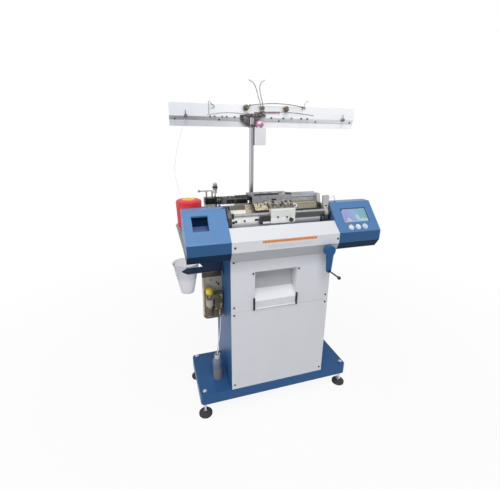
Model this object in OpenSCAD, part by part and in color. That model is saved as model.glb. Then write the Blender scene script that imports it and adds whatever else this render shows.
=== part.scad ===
// Glove knitting machine on a pedestal: a knitting head with two needle beds and a sliding
// carriage, two consoles, a folded front cover, a yarn beam on a post and a drive in the column.
// Millimetres, +Z up, +Y towards the back of the machine, the floor at Z zero.

/* [Base and feet] */
// Width of the base
base_w = 936; // [880:2:1040]
// Depth of the base
base_d = 372; // [350:2:440]
// Height of the base pan
base_h = 66; // [50:1:90]
// Height of the base's underside above the floor
base_lift = 86; // [70:1:120]
// Sheet thickness of the base
base_wall = 4; // [3:0.5:6]
// Radius of the base's upright corners
base_corner_r = 22; // [12:1:30]
// Distance of each foot's stud from the base's edges
foot_inset = 26; // [22:1:50]
// Diameter of a rubber foot pad
foot_pad_d = 78; // [60:1:100]
// Height of a rubber foot pad
foot_pad_h = 30; // [20:1:40]
// Diameter of a foot's stud
foot_stud_d = 14; // [10:1:18]

/* [Column] */
// Width of the column
column_w = 575; // [540:1:620]
// Depth of the column with its panels
column_d = 372; // [350:2:420]
// Height of the column above the base
column_h = 848; // [780:1:920]
// Sheet thickness of the side frames
column_wall = 3; // [2:0.5:5]
// Width of the side frames' flanges
flange_w = 28; // [20:1:40]
// Sheet thickness of the front panels and the rear cover
panel_t = 2; // [1.5:0.5:3]
// Height of the lower front panel
lower_panel_h = 502; // [440:1:520]
// Thickness of the deck that carries the knitting head
deck_t = 12; // [8:1:16]

/* [Delivery chute] */
// Width of the delivery opening
chute_w = 238; // [200:1:260]
// Distance of the opening's left edge from the machine's middle
chute_left_reach = 157; // [120:1:180]
// Height of the opening above its sill
chute_h = 172; // [140:1:190]
// Depth of the chute behind the front panel
chute_depth = 58; // [40:1:80]
// Rise of the sloped chute floor
chute_rise = 46; // [20:1:70]
// Height of the flap below the sill
flap_h = 48; // [40:1:60]

/* [Cover and consoles] */
// Forward reach of the cover beyond the front panels
cover_reach = 31; // [20:1:50]
// Height of the cover's fold above the column
cover_fold_rise = 56; // [40:1:80]
// Height of the cover's upright front face
cover_face_h = 55; // [40:1:80]
// Height of the return below the front face
cover_return_h = 57; // [40:1:80]
// Depth of the cover's slope from front to back
cover_slope_d = 65; // [50:1:75]
// Rise of the cover's slope
cover_slope_h = 54; // [40:1:58]
// Sheet thickness of the cover
cover_wall = 3; // [2:0.5:4]
// Gap between the column and the right console
cover_side_reach = 20; // [10:1:40]
// Width of the left console
left_console_w = 216; // [190:1:260]
// Width of the right console
right_console_w = 258; // [230:1:300]
// Height of the consoles' flat top above the column
console_rise = 197; // [180:1:220]
// Depth of the consoles' slope from front to ridge
console_slope_d = 132; // [120:1:150]
// Depth of the consoles' flat top
console_top_d = 55; // [40:1:80]
// Sheet thickness of the consoles
console_wall = 2.5; // [2:0.5:4]

/* [Panel devices] */
// Width of the tool pocket
pocket_w = 83; // [60:1:100]
// Depth of the tool pocket
pocket_d = 74; // [60:1:78]
// Width of the touch screen
screen_w = 158; // [130:1:180]
// Height of the touch screen along the slope
screen_h = 89; // [70:1:96]
// Diameter of a push button's cap
button_d = 20; // [14:1:24]
// Pitch of the push buttons
button_pitch = 44; // [36:1:60]

/* [Needle beds] */
// Height of the beds' upper edges above the column
bed_rise = 198; // [180:1:210]
// Slope of the needle beds
bed_angle = 48; // [44:1:52]
// Length of the needle beds along their slope
bed_run = 100; // [90:1:110]
// Thickness of a needle bed
bed_t = 14; // [10:1:18]
// Width of the throat between the beds
throat_w = 40; // [36:1:50]
// Number of needles in a bed
needle_count = 64; // [40:1:70]
// Pitch of the needles
needle_pitch = 6.4; // [5:0.1:6.6]

/* [Carriage] */
// Length of the front cam plate
cam_plate_w = 137; // [110:1:150]
// Length of the carriage's bridge
bridge_w = 223; // [190:1:240]
// Diameter of the feeder rod
feeder_rod_d = 10; // [6:1:12]

/* [Operating lever] */
// Diameter of the lever's hub
lever_hub_d = 58; // [44:1:60]
// Length of the lever's arm
lever_arm_l = 111; // [90:1:140]
// Length of the lever's handle rod
lever_handle_l = 96; // [60:1:120]

/* [Yarn beam] */
// Height of the beam's upper edge above the column
beam_rise = 705; // [640:1:760]
// Height of the folded beam
beam_h = 112; // [90:1:130]
// Length of the beam left of the machine's middle
beam_left_l = 515; // [460:1:540]
// Length of the beam right of the machine's middle
beam_right_l = 570; // [500:1:600]
// Sheet thickness of the beam
beam_wall = 2; // [1.5:0.5:3]
// Diameter of the post
post_d = 25; // [20:1:32]

/* [Yarn supply] */
// Radius of a yarn bowl at its rim
bowl_rim_r = 74; // [66:1:78]
// Radius of a yarn bowl at its bottom
bowl_bottom_r = 38; // [30:1:50]
// Height of a yarn bowl
bowl_h = 182; // [150:1:184]
// Diameter of the yarn package at its top
package_top_d = 136; // [120:1:144]
// Height of the yarn package
package_h = 182; // [140:1:200]
// Length of the blue arm that carries the lower bowl
arm_l = 228; // [200:1:250]

/* [Oil unit] */
// Width of the oil unit's back plate
oil_plate_w = 116; // [100:1:124]
// Height of the oil unit's back plate
oil_plate_h = 285; // [240:1:300]
// Diameter of the oil bowl
oil_bowl_d = 44; // [36:1:50]
// Diameter of the waste bottle
bottle_d = 58; // [48:1:66]
// Height of the waste bottle
bottle_h = 165; // [140:1:190]

/* [Hidden] */
$fn = 48;

// Clearances that all pieces share
cut_over = 1;
push_fit = 0.1;
run_fit = 0.05;
seat_gap = 0.3;

// Main levels and planes
base_top = base_lift + base_h;
column_top = base_top + column_h;
deck_top = column_top + deck_t;
column_side = column_w / 2;
column_front = -column_d / 2;
panel_back = column_front + panel_t;
column_back = column_d / 2;
cover_back = column_back - panel_t;
foot_x = base_w / 2 - foot_inset;
foot_y = base_d / 2 - foot_inset;

// Feet
pad_rim_h = 9;
pad_neck_d = 40;
stud_flange_d = 32;
stud_flange_h = 6;
stud_proud = 4;
nut_d = 25;
nut_h = 11;

// Front panels and delivery chute
panel_return_w = 14;
seam_z = base_top + lower_panel_h;
seam_gap = 1;
sill_z = seam_z + seam_gap + flap_h + 2 * seat_gap;
chute_left = -chute_left_reach;
chute_right = chute_left + chute_w;
chute_top = sill_z + chute_h;
chute_back = panel_back + chute_depth;
chute_wall = 1.5;
vent_slot_w = 90;
vent_slot_h = 6;
vent_pitch = 16;
vent_rows = 8;
vent_column_shares = [-0.5, 0.5];
vent_z = base_top + vent_slot_w;
flap_t = 2;
flap_barrel_d = 8;
flap_pin_d = 4;
flap_pin_l = 7;
flap_axis_y = column_front - flap_t;
flap_axis_z = seam_z + seam_gap + flap_barrel_d / 2;
bracket_w = 9;
bracket_t = 9;
bracket_h = 70;

// Cover and consoles, in the plane of depth and height
cover_left = -column_side;
cover_right = column_side + cover_side_reach;
cover_front = column_front - cover_reach;
cover_fold = column_top + cover_fold_rise;
cover_face_bottom = cover_fold - cover_face_h;
cover_foot = cover_face_bottom - cover_return_h;
console_top = column_top + console_rise;
console_ridge = cover_front + console_slope_d;
console_back = console_ridge + console_top_d;
console_slope = atan2(console_top - cover_fold, console_slope_d);
console_foot_share = 0.2;
console_foot = cover_foot + console_foot_share * cover_return_h;
console_back_share = 0.5;
console_knee_share = 0.18;
console_knee_d = 72;
console_back_z = console_top - console_back_share * (console_top - console_foot);
console_knee_z = console_foot + console_knee_share * (console_back_z - console_foot);
console_knee_y = console_back - console_knee_d;
console_profile = [[cover_front, cover_face_bottom], [cover_front, cover_fold],
    [console_ridge, console_top], [console_back, console_top], [console_back, console_back_z],
    [console_knee_y, console_knee_z], [column_front, console_foot]];
left_console_x = cover_left - left_console_w;
cable_hole_d = 26;
cable_hole_y_share = 0.6;
cable_hole_y = cover_front + cable_hole_y_share * (console_back - cover_front);
cable_hole_z = cover_fold;

// Pocket, screen and buttons on the consoles' slopes
pocket_side = 39;
pocket_lip = 48;
pocket_rise = 42;
pocket_x = left_console_x + pocket_side;
pocket_front = cover_front + pocket_lip;
pocket_floor = cover_fold + pocket_rise;
pocket_h = 70;
pocket_wall = 2;
screen_side = 53;
screen_x = cover_right + screen_side;
screen_s = 60;
screen_deep = 16;
screen_proud = 1.5;
screen_rim = 5;
glass_t = 2;
glass_sink = 1;
button_side = 80;
button_x = cover_right + button_side;
button_s = 29;
collar_rim = 4;
collar_h = 3;
collar_wall = 1.5;
collar_l = 22;
button_proud = 8;
button_tail = 14;

// Operating lever
lever_inset = 45;
lever_drop = 30;
lever_gap = 2;
lever_x = column_side - lever_inset;
lever_z = column_top - lever_drop;
lever_back = cover_front - lever_gap;
lever_hub_l = 28;
lever_front = lever_back - lever_hub_l;
lever_arm_t = 14;
lever_arm_w = 42;
lever_end_d = 25;
lever_shaft_d = 20;
lever_bush_wall = 6;
lever_bush_l = 24;
lever_shaft_proud = 10;
lever_shaft_end = panel_back + lever_bush_l + lever_shaft_proud;
handle_d = 8;
handle_ball_d = 19;
shaft_window = 6;

// Needle beds in their own sloping frame: s runs up the slope, n stands on the bed
bed_y = -2;
bed_z = column_top + bed_rise;
bed_foot_y = bed_y - throat_w / 2 - bed_run * cos(bed_angle);
bed_foot_z = bed_z - bed_run * sin(bed_angle);
head_inset = 25.5;
head_half = column_side - head_inset;
bed_margin = 7;
bed_left = -head_half + bed_margin;
bed_len = 2 * (head_half - bed_margin);
needle_inset = 19;
needle_right = head_half - needle_inset;
needle_left = needle_right - (needle_count - 1) * needle_pitch;
groove_w = 2.4;
groove_d = 5;
needle_w = 1.8;
needle_foot_share = 0.06;
needle_butt_shares = [0.34, 0.4];
needle_tip_share = 0.98;
needle_butt_h = 7;
needle_hook_h = 2;
needle_hook_share = 0.93;
frame_plate_t = 12;
frame_wall_t = 16;
frame_run_share = 0.75;
frame_web_h = 70;
end_cover_t = 8;
end_cover_gap = 10;
end_cover_shares = [0.12, 0.94];

// Rails, end frames and feeder rod
rail_reach = 27;
rail_front = bed_foot_y - rail_reach;
rail_t = 12;
rail_h = 28;
rail_drop = 29;
rail_top = bed_z - rail_drop;
end_frame_t = 20;
end_margin = 9;
end_rise = 42;
end_shoulder_drop = 8;
end_front = rail_front - end_margin;
end_back = 2 * bed_y - end_front;
end_top = bed_z + end_rise;
end_shoulder = bed_z - end_shoulder_drop;
end_crown = 30;
end_bracket_w = 36;
end_bracket_t = 12;
end_bracket_set = 22;
end_bracket_y = rail_front + end_bracket_set;
end_bracket_drop = 125;
end_hole_d = 16;
end_hole_drop = 16;
apron_t = 3;
feeder_rod_rise = 28;
feeder_rod_z = bed_z + feeder_rod_rise;

// Carriage: bridge over the beds, cam plates over the rails
cam_x = -57;
bridge_x = -135;
bridge_reach = 60;
bridge_front = bed_y - bridge_reach;
bridge_t = 8;
bridge_rise = 24;
bridge_top = feeder_rod_z + bridge_rise;
bridge_plate_t = 10;
bridge_clear = 8;
bridge_foot = bed_z + bridge_clear;
cam_t = 9;
cam_fall_share = 0.572;
cam_reach = 16;
cam_edge_h = 18;
cam_skirt_h = 55;
cam_front = rail_front - cam_reach;
cam_edge = bridge_foot + cam_edge_h;
cam_skirt_foot = rail_top - cam_skirt_h;
cam_rear_reach = 54;
cam_block_shares = [0.22, 0.48];
cam_block_gap = 2.5;
cam_block_inset = 12;
shoe_grip_share = 0.4;
shoe_edge = 1;
guide_block_w = 57;
guide_block_h = 41;
guide_block_t = 14;
top_bar_l = 128;
top_bar_w = 12;
top_bar_h = 9;
top_bar_inset = 14;
boss_d = 22;
boss_h = 7;
boss_shares = [0.3, 0.52, 0.8];
feeder_w = 10;
feeder_t = 4;
feeder_set = 14;
feeder_y = bed_y - feeder_set;
feeder_tip_d = 6;
feeder_tip_h = 8;
feeder_share = 0.56;
knob_d = 20;
knob_l = 13;
knob_stem_d = 7;
knob_inset = 24;
knob_rise = 16;
knob_x = cam_x + cam_plate_w - knob_inset;
knob_z = cam_skirt_foot + knob_rise;

// Selector unit behind the left half of the head
selector_set = 33;
selector_drop = 4;
shelf_drop = 48;
selector_y = end_back + selector_set;
selector_z = bed_z - selector_drop;
shelf_z = bed_z - shelf_drop;
shelf_t = 8;
shelf_reach = 78;
shelf_left = -column_side - shelf_reach;
shelf_d = 58;
shelf_leg_t = 8;
shelf_leg_inset = 30;
drum_inset = 5;
drum_left = drum_inset - column_side;
drum_l_share = 0.3896;
drum_l = drum_l_share * column_side;
drum_core_d = 36;
drum_rib_d = 46;
drum_rib_t = 5;
drum_rib_count = 7;
drum_shaft_d = 12;
drum_peg = 7;
drum_peg_w = 4;
drum_peg_count = 10;
drum_stand_t = 10;
drum_stand_w = 34;
drum_stand_rise = 24;
drum_stand_gap = 1;
selector_motor_l = 58;
selector_motor_w = 56;
selector_cap_share = 0.22;
coupling_gap = 0.3;
comb_count = 11;
comb_t = 3;
comb_gap = 1.5;
comb_margin = 4;
comb_left = drum_left + drum_l + drum_stand_gap + drum_stand_t + comb_gap;
post_x = -79;
shelf_post_gap = 3.5;
shelf_right = post_x - post_d / 2 - shelf_post_gap;
shelf_leg_xs = [shelf_leg_t - column_side, shelf_right - shelf_leg_inset];
comb_pitch = (shelf_right - comb_margin - comb_left) / comb_count;
comb_d = 44;
comb_h = 62;
comb_crown_share = 0.4;
bridge_leg_d = 9;
bridge_leg_h = 38;
guide_rod_d = 7;
guide_reach = 86;
guide_rod_l = 72;
guide_ball_d = 15;
tension_stem_d = 8;
tension_stem_h = 34;
tension_collar_d = 22;
tension_collar_h = 13;
tension_knob_d = 14;
tension_knob_h = 46;
guard_left = 88;
guard_right = 322;
guard_h = 56;
guard_t = 2;
guard_rise = 32;
guard_top = bed_z + guard_rise;
guard_foot_w = 22;
guard_foot_shares = [0.07, 0.63];

// Drive inside the column
motor_d = 140;
motor_l = 190;
motor_y = 60;
motor_x_share = 0.522;
motor_x = -motor_x_share * column_side;
motor_rise = 96;
motor_axis_z = base_top + motor_rise;
motor_foot_w = 130;
motor_foot_d = 110;
motor_shaft_d = 19;
motor_shaft_l = 56;
pulley_w = 26;
motor_pulley_d = 70;
main_pulley_d = 140;
main_shaft_d = 25;
main_shaft_drop = 110;
main_shaft_z = column_top - main_shaft_drop;
main_shaft_shares = [-0.73, 0.817];
main_shaft_left = main_shaft_shares[0] * column_side;
main_shaft_right = main_shaft_shares[1] * column_side;
hanger_t = 24;
hanger_w = 60;
hanger_inset = 40;
belt_t = 6;
belt_w = 20;
belt_gap = 0.3;
pulley_gap = 24;
motor_face = motor_x + motor_l / 2;
pulley_x = motor_face + pulley_gap;

// Post, beam and what the beam carries
post_y = 137;
beam_gap = 0.5;
post_flange_d = 74;
post_flange_t = 8;
post_collar_d = 40;
post_collar_h = 32;
beam_front = post_y + post_d / 2 + beam_gap;
beam_top = column_top + beam_rise;
beam_bottom = beam_top - beam_h;
beam_step = 12;
beam_fold_shares = [0.26, 0.43];
beam_fold_low = beam_bottom + beam_fold_shares[0] * beam_h;
beam_fold_high = beam_bottom + beam_fold_shares[1] * beam_h;
beam_profile = [[beam_front + beam_step, beam_bottom], [beam_front + beam_step, beam_fold_low],
    [beam_front, beam_fold_high], [beam_front, beam_top]];
clamp_w = 95;
clamp_h = 18;
clamp_wall = 12;
clamp_z = beam_fold_high;
strut_w = 20;
strut_t = 10;
strut_reach = 39;
strut_foot_h = 12;
strut_ring_d = 38;
strut_ring_h = 16;
strut_gap = 2;
eyelet_d = 10;
eyelet_hole_d = 4;
eyelet_t = 5;
eyelet_rise = 1;
eyelet_z = beam_fold_high + eyelet_rise;
eyelet_left_shares = [0.592, 0.546, 0.468, 0.419, 0.334];
eyelet_right_shares = [0.068, 0.195, 0.281, 0.389, 0.456];
tensioner_shares = [-0.216, 0.212];
tensioner_drop = 15;
tensioner_z = beam_top - tensioner_drop;
tensioner_disc_d = 30;
tensioner_nut_d = 15;
tensioner_stem_d = 7;
tensioner_l = 32;
tensioner_turn_shares = [0.25, 0.4, 0.55, 0.62, 0.7];
end_guide_shares = [-0.84, 0.861];
end_guide_rise = 0;
end_guide_z = beam_fold_high + end_guide_rise;
end_guide_d = 18;
end_guide_l = 16;
end_guide_stem_d = 4;
end_guide_stem_h = 28;
wire_d = 4;
wire_sides = 8;
wire_steps = 10;
pivot_d = 14;
pivot_l = 38;
pivot_pin_d = 6;
pivot_pin_l = 12;
take_up_hub_d = 15;
take_up_hub_l = 9;
left_pivot_reach = 32.2;
left_pivot_rise = 12;
left_wire_l = 211;
left_wire_bow = 10;
left_wire_drop = 7;
right_pivot_reach = 54.8;
right_pivot_rise = 27;
right_wire_l = 296;
right_wire_bow = 7;
right_wire_drop = 11;
left_pivot = [post_x - left_pivot_reach, beam_fold_high + left_pivot_rise];
right_pivot = [post_x + right_pivot_reach, beam_fold_high + right_pivot_rise];
wire_y = beam_front - pivot_l - seat_gap - take_up_hub_l / 2;
bow_left_share = 0.172;
bow_right_share = 0.39;
bow_h = 13;
bow_stand = 3;
bow_y = beam_front - tensioner_l / 2;
feeler_x = -20;
feeler_lift = 134;
feeler_reach = 72;
feeler_block_w = 22;
feeler_block_h = 16;
feeler_left_shares = [[0, 0], [-0.12, 0.2], [-0.27, 0.42], [-0.4, 0.64], [-0.5, 0.79], [-0.7, 0.92], [-1, 1]];
feeler_right_shares = [[0, 0], [-0.08, 0.2], [-0.2, 0.42], [-0.3, 0.64], [-0.31, 0.8], [-0.2, 0.92], [0.06, 1.02]];
box_w = 64;
box_d = 40;
box_h = 90;
box_drop = 5;
box_top = beam_bottom - box_drop;
box_corner_r = 5;
lamp_d = 48;
lamp_h = 40;
lamp_foot_d = 38;
lamp_bulb_shares = [[0.8, 0.15], [0.95, 0.31], [1, 0.5], [0.94, 0.69], [0.76, 0.86], [0.46, 0.97]];

// Yarn supply: the upper bowl on a bent rod, the lower bowl under the arm
upper_bowl = [-448, 80];
upper_bowl_drop = 98;
upper_bowl_z = column_top - upper_bowl_drop;
lower_bowl = [-480, 96];
lower_bowl_drop = 324;
lower_bowl_z = column_top - lower_bowl_drop;
bowl_wall = 2.5;
bowl_lip = 3;
bowl_lip_h = 4;
stand_rod_d = 10;
stand_disc_d = 60;
stand_disc_t = 4;
stand_rod_drop = 17;
stand_rod_z = upper_bowl_z - stand_rod_drop;
stand_plate_t = 4;
stand_plate_w = 44;
arm_h = 34;
arm_t = 10;
arm_drop = 174;
arm_z = column_top - arm_drop;
arm_y = 0;
arm_point = 30;
arm_flange_t = 4;
arm_flange_w = 60;
arm_flange_over = 14;
arm_gusset_h = 30;
arm_gusset_shares = [0.588, 0.491];
arm_boss_d = 22;
package_round = 10;
package_bottom_share = 0.91;
package_bottom_d = package_bottom_share * package_top_d;
bowl_slope = (bowl_rim_r - bowl_bottom_r) / bowl_h;
package_z = upper_bowl_z + bowl_wall
    + (package_bottom_d / 2 + seat_gap - bowl_bottom_r + bowl_wall) / bowl_slope;

// Oil unit on the column's left side, waste bottle on the base
oil_y = 30;
oil_plate_t = 4;
oil_rise = 358;
oil_bottom = base_top + oil_rise;
oil_plate_r = 30;
oil_flange_w = 30;
oil_flange_t = 3;
oil_flange_shares = [0.2, 0.9];
oil_head_w = 94;
oil_head_d = 52;
oil_head_h = 28;
oil_head_share = 0.53;
oil_head_z = oil_bottom + oil_head_share * oil_plate_h;
oil_side_gap = 8;
oil_right = -column_side - oil_side_gap;
oil_body_w = 46;
oil_body_d = 44;
oil_body_h = 72;
oil_bowl_h = 116;
oil_bowl_wall = 2;
oil_bowl_round = 8;
oil_ring_t = 3;
oil_ring_h = 20;
oil_ring_share = 0.4;
oil_cap_d = 42;
oil_cap_h = 32;
oil_cap_round = 9;
oil_tube_d = 10;
oil_tube_h = 50;
oil_tube_inset = 12;
oil_screw_d = 10;
oil_screw_h = 5;
oil_screw_shares = [[0.45, 0.88], [0.72, 0.82]];
bottle_set = 56.5;
bottle = [-column_side - bottle_set, -57];
bottle_wall = 2;
bottle_neck_d = 34;
bottle_shoulder_shares = [0.72, 0.87];

// Routes of the yarn, the drain hose and the console's cable
yarn_d = 1.6;
yarn_route = [[-484, 80, 1222], [-488, 81, 1240], [-493, 83, 1260], [-498, 86, 1286], [-503, 90, 1312],
    [-507, 95, 1338], [-508, 100, 1364], [-506, 105, 1392], [-502, 110, 1420], [-496, 114, 1450],
    [-488, 118, 1480], [-479, 122, 1510], [-469, 126, 1540], [-459, 130, 1570], [-449, 134, 1598],
    [-440, 138, 1622], [-436.5, 139.7, 1631]];
hose_d = 6;
hose_points = [[-19.5, 8, 538.8], [-19.5, 8, 525], [-19.5, 7, 508], [-20.5, 5, 490], [-22.5, 2, 472],
    [-24.5, -2, 454], [-27.5, -7, 436], [-31.5, -13, 418], [-35.5, -20, 400], [-40.5, -28, 382],
    [-45.5, -36, 365], [-49.5, -44, 349], [-52.5, -50, 333], [-54.5, -54, 317], [-55.5, -56, 302],
    [-56.5, -57, 288]];
hose_route = [for (p = hose_points) [p[0] - column_side, p[1], p[2]]];
cable_d = 4;
cable_points = [[-8.5, -88, 1224], [-3.5, -88, 1225], [3.5, -86, 1227], [11.5, -82, 1230],
    [19.5, -77, 1232], [27.5, -72, 1231], [34.5, -67, 1228], [40.5, -64, 1223], [44.5, -62, 1218],
    [47.5, -62, 1212], [48.5, -62, 1206], [48.5, -62, 1201]];
cable_route = [for (p = cable_points) [p[0] + cover_right, p[1], p[2]]];
route_sides = 8;
gland_d = 14;
gland_h = 3;
gland_side = 48.5;
gland_set = 23;

// The part's box decides its origin: the middle of the box at the floor
reach_left = min(lower_bowl[0] - bowl_rim_r - bowl_lip, -beam_left_l);
reach_right = max(cover_right + right_console_w, beam_right_l);
reach_front = lever_front - lever_handle_l - handle_ball_d / 2;
reach_back = foot_y + foot_pad_d / 2;
origin = [(reach_left + reach_right) / 2, (reach_front + reach_back) / 2, 0];

// A box between two corners
module box(low, high) {
    translate(low) cube(high - low);
}

// An outline of depth and height drawn out along the machine
module along_x(length) {
    rotate([90, 0, 90]) linear_extrude(length) children();
}

// A block with round upright corners, centred over its origin
module round_block(w, d, r, h) {
    translate([r - w / 2, -d / 2, 0]) cube([w - 2 * r, d, h]);
    translate([-w / 2, r - d / 2, 0]) cube([w, d - 2 * r, h]);
    for (x = [-1, 1], y = [-1, 1])
        translate([x * (w / 2 - r), y * (d / 2 - r), 0]) cylinder(r = r, h = h);
}

// A cylinder that points forwards from a plane of depth
module forward(x, y, z, d, length) {
    translate([x, y, z]) rotate([90, 0, 0]) cylinder(d = d, h = length);
}

// A cylinder that points to the right from a plane of width
module rightward(x, y, z, d, length) {
    translate([x, y, z]) rotate([0, 90, 0]) cylinder(d = d, h = length);
}

// The outline moved inwards by a wall, for outlines that run clockwise
function side_normal(a, b) = let (d = (b - a) / norm(b - a)) [d[1], -d[0]];
function inset(points, wall) = [
    for (i = [0:len(points) - 1])
        let (n = len(points), a = points[(i + n - 1) % n], b = points[i], c = points[(i + 1) % n],
            p = side_normal(a, b), q = side_normal(b, c))
            b + wall * (p + q) / (1 + p * q)];

// A folded sheet: an open outline given its thickness towards the back
function sheet(points, wall) = concat(points,
    [for (i = [len(points) - 1:-1:0]) points[i] + [wall, 0]]);

// A round wire swept along a route; ref is a direction that the route never takes
function direction(route, i) = let (a = route[max(i - 1, 0)], b = route[min(i + 1, len(route) - 1)])
    (b - a) / norm(b - a);
function ring(route, i, r, sides, ref) = let (t = direction(route, i),
    s = cross(ref, t) / norm(cross(ref, t)), u = cross(t, s))
    [for (j = [0:sides - 1]) route[i] + r * (cos(360 * j / sides) * s + sin(360 * j / sides) * u)];
module wire(route, d, sides, ref) {
    last = len(route) - 1;
    polyhedron(
        points = [for (i = [0:last]) each ring(route, i, d / 2, sides, ref)],
        faces = concat([[for (j = [0:sides - 1]) j]],
            [for (i = [0:last - 1], j = [0:sides - 1]) [i * sides + j, (i + 1) * sides + j,
                (i + 1) * sides + (j + 1) % sides, i * sides + (j + 1) % sides]],
            [[for (j = [sides - 1:-1:0]) last * sides + j]]));
}

// Places of the four feet
module at_feet() {
    for (x = [-foot_x, foot_x], y = [-foot_y, foot_y]) translate([x, y, 0]) children();
}

// Frame of the consoles' slope: y runs up the slope and z stands on it
module on_slope(x, s) {
    translate([x, cover_front, cover_fold]) rotate([console_slope, 0, 0]) translate([0, s, 0]) children();
}

// Frame of the front needle bed: y runs up the bed and z stands on it
module on_bed() {
    translate([0, bed_foot_y, bed_foot_z]) rotate([bed_angle, 0, 0]) children();
}

// The front half of the head mirrored to the back
module to_rear() {
    translate([0, 2 * bed_y, 0]) mirror([0, 1, 0]) children();
}

function needle_x(i) = needle_left + i * needle_pitch;

module base_plinth() {
    color("steelblue") difference() {
        translate([0, 0, base_lift]) round_block(base_w, base_d, base_corner_r, base_h);
        translate([0, 0, base_lift - cut_over])
            round_block(base_w - 2 * base_wall, base_d - 2 * base_wall, base_corner_r - base_wall,
                base_h - base_wall + cut_over);
        at_feet() translate([0, 0, base_lift]) cylinder(d = foot_stud_d + 2 * push_fit, h = base_h + cut_over);
    }
}

module foot_pads() {
    color("#202020") at_feet() rotate_extrude()
        polygon([[0, 0], [foot_pad_d / 2, 0], [foot_pad_d / 2, pad_rim_h], [pad_neck_d / 2, foot_pad_h],
            [0, foot_pad_h]]);
}

module foot_nut() {
    difference() {
        cylinder(d = nut_d, h = nut_h, $fn = 6);
        translate([0, 0, -cut_over]) cylinder(d = foot_stud_d + 2 * push_fit, h = nut_h + 2 * cut_over, $fn = 48);
    }
}

// Flanged studs with a nut under and over the base's top
module foot_hardware() {
    color("silver") at_feet() {
        translate([0, 0, foot_pad_h]) cylinder(d = foot_stud_d, h = base_top + nut_h + stud_proud - foot_pad_h);
        translate([0, 0, foot_pad_h]) cylinder(d = stud_flange_d, h = stud_flange_h);
        for (z = [base_top - base_wall - nut_h, base_top]) translate([0, 0, z]) foot_nut();
    }
}

module side_frame() {
    difference() {
        box([-column_side, panel_back, base_top], [flange_w - column_side, cover_back, column_top]);
        box([column_wall - column_side, panel_back + column_wall, base_top - cut_over],
            [flange_w - column_side + cut_over, cover_back - column_wall, column_top + cut_over]);
    }
}

module side_frames() {
    color("steelblue") {
        side_frame();
        mirror([1, 0, 0]) side_frame();
    }
}

module rear_cover() {
    color("steelblue") difference() {
        box([-column_side, cover_back, base_top], [column_side, column_back, column_top]);
        for (share = vent_column_shares, row = [0:vent_rows - 1])
            translate([share * column_side - vent_slot_w / 2, cover_back - cut_over, vent_z + row * vent_pitch])
                cube([vent_slot_w, panel_t + 2 * cut_over, vent_slot_h]);
    }
}

module lower_front_panel() {
    inner = column_side - flange_w - seat_gap;
    color("whitesmoke") {
        box([-column_side, column_front, base_top], [column_side, panel_back, seam_z]);
        box([-inner, panel_back, seam_z - panel_t], [inner, panel_back + panel_return_w, seam_z]);
    }
}

// The upper panel has the chute's opening and a boss that carries the lever's shaft
module upper_front_panel() {
    color("whitesmoke") difference() {
        union() {
            box([-column_side, column_front, seam_z + seam_gap], [column_side, panel_back, column_top]);
            forward(lever_x, panel_back + lever_bush_l, lever_z, lever_shaft_d + 2 * lever_bush_wall, lever_bush_l);
        }
        box([chute_left, column_front - cut_over, seam_z - cut_over],
            [chute_right, panel_back + cut_over, chute_top]);
        forward(lever_x, panel_back + lever_bush_l + cut_over, lever_z, lever_shaft_d + 2 * run_fit,
            lever_bush_l + panel_t + 2 * cut_over);
    }
}

// A sheet duct: open to the deck's slot above, with a sloped floor down to the sill
module delivery_chute() {
    slot_front = bed_y - throat_w / 2;
    slot_back = bed_y + throat_w / 2;
    duct = [[panel_back, sill_z], [panel_back, chute_top], [slot_front, column_top], [slot_back, column_top],
        [chute_back, chute_top], [chute_back, sill_z + chute_rise]];
    far_left = chute_left - 2 * chute_wall;
    far_right = chute_right + 2 * chute_wall;
    color("whitesmoke") difference() {
        translate([chute_left - chute_wall, 0, 0]) along_x(chute_w + 2 * chute_wall)
            polygon(inset(duct, -chute_wall));
        translate([chute_left, 0, 0]) along_x(chute_w) polygon(duct);
        box([far_left, panel_back - 2 * chute_wall, sill_z - chute_h], [far_right, panel_back, column_top]);
        box([far_left, panel_back, column_top], [far_right, column_back, column_top + 2 * chute_wall]);
    }
}

module chute_flap() {
    left = chute_left + seat_gap;
    right = chute_right - seat_gap;
    color("whitesmoke") {
        box([left, column_front, seam_z + seam_gap + seat_gap],
            [right, column_front + flap_t, sill_z - seat_gap]);
        box([left, flap_axis_y, flap_axis_z - flap_t], [right, column_front, flap_axis_z + flap_t]);
        rightward(left, flap_axis_y, flap_axis_z, flap_barrel_d, right - left);
        rightward(left - flap_pin_l, flap_axis_y, flap_axis_z, flap_pin_d, right - left + 2 * flap_pin_l);
    }
}

module flap_brackets() {
    low = flap_axis_z - flap_barrel_d / 2;
    color("#303438") for (x = [chute_left - bracket_w, chute_right]) difference() {
        box([x, column_front - bracket_t, low], [x + bracket_w, column_front, low + bracket_h]);
        rightward(x - cut_over, flap_axis_y, flap_axis_z, flap_pin_d + 2 * run_fit, bracket_w + 2 * cut_over);
    }
}

// The deck has the slot through which the gloves drop, and hangers for the main shaft
module deck_plate() {
    hangers = [main_shaft_left + hanger_inset, main_shaft_right - hanger_inset - hanger_t];
    color("lightgray") difference() {
        union() {
            box([-column_side, panel_back, column_top], [column_side, column_back, deck_top]);
            for (x = hangers) box([x, motor_y - hanger_w / 2, main_shaft_z - hanger_w / 2],
                [x + hanger_t, motor_y + hanger_w / 2, column_top]);
        }
        box([chute_left, bed_y - throat_w / 2, column_top - cut_over],
            [chute_right, bed_y + throat_w / 2, deck_top + cut_over]);
        for (x = hangers) rightward(x - cut_over, motor_y, main_shaft_z, main_shaft_d + 2 * run_fit,
            hanger_t + 2 * cut_over);
    }
}

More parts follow.
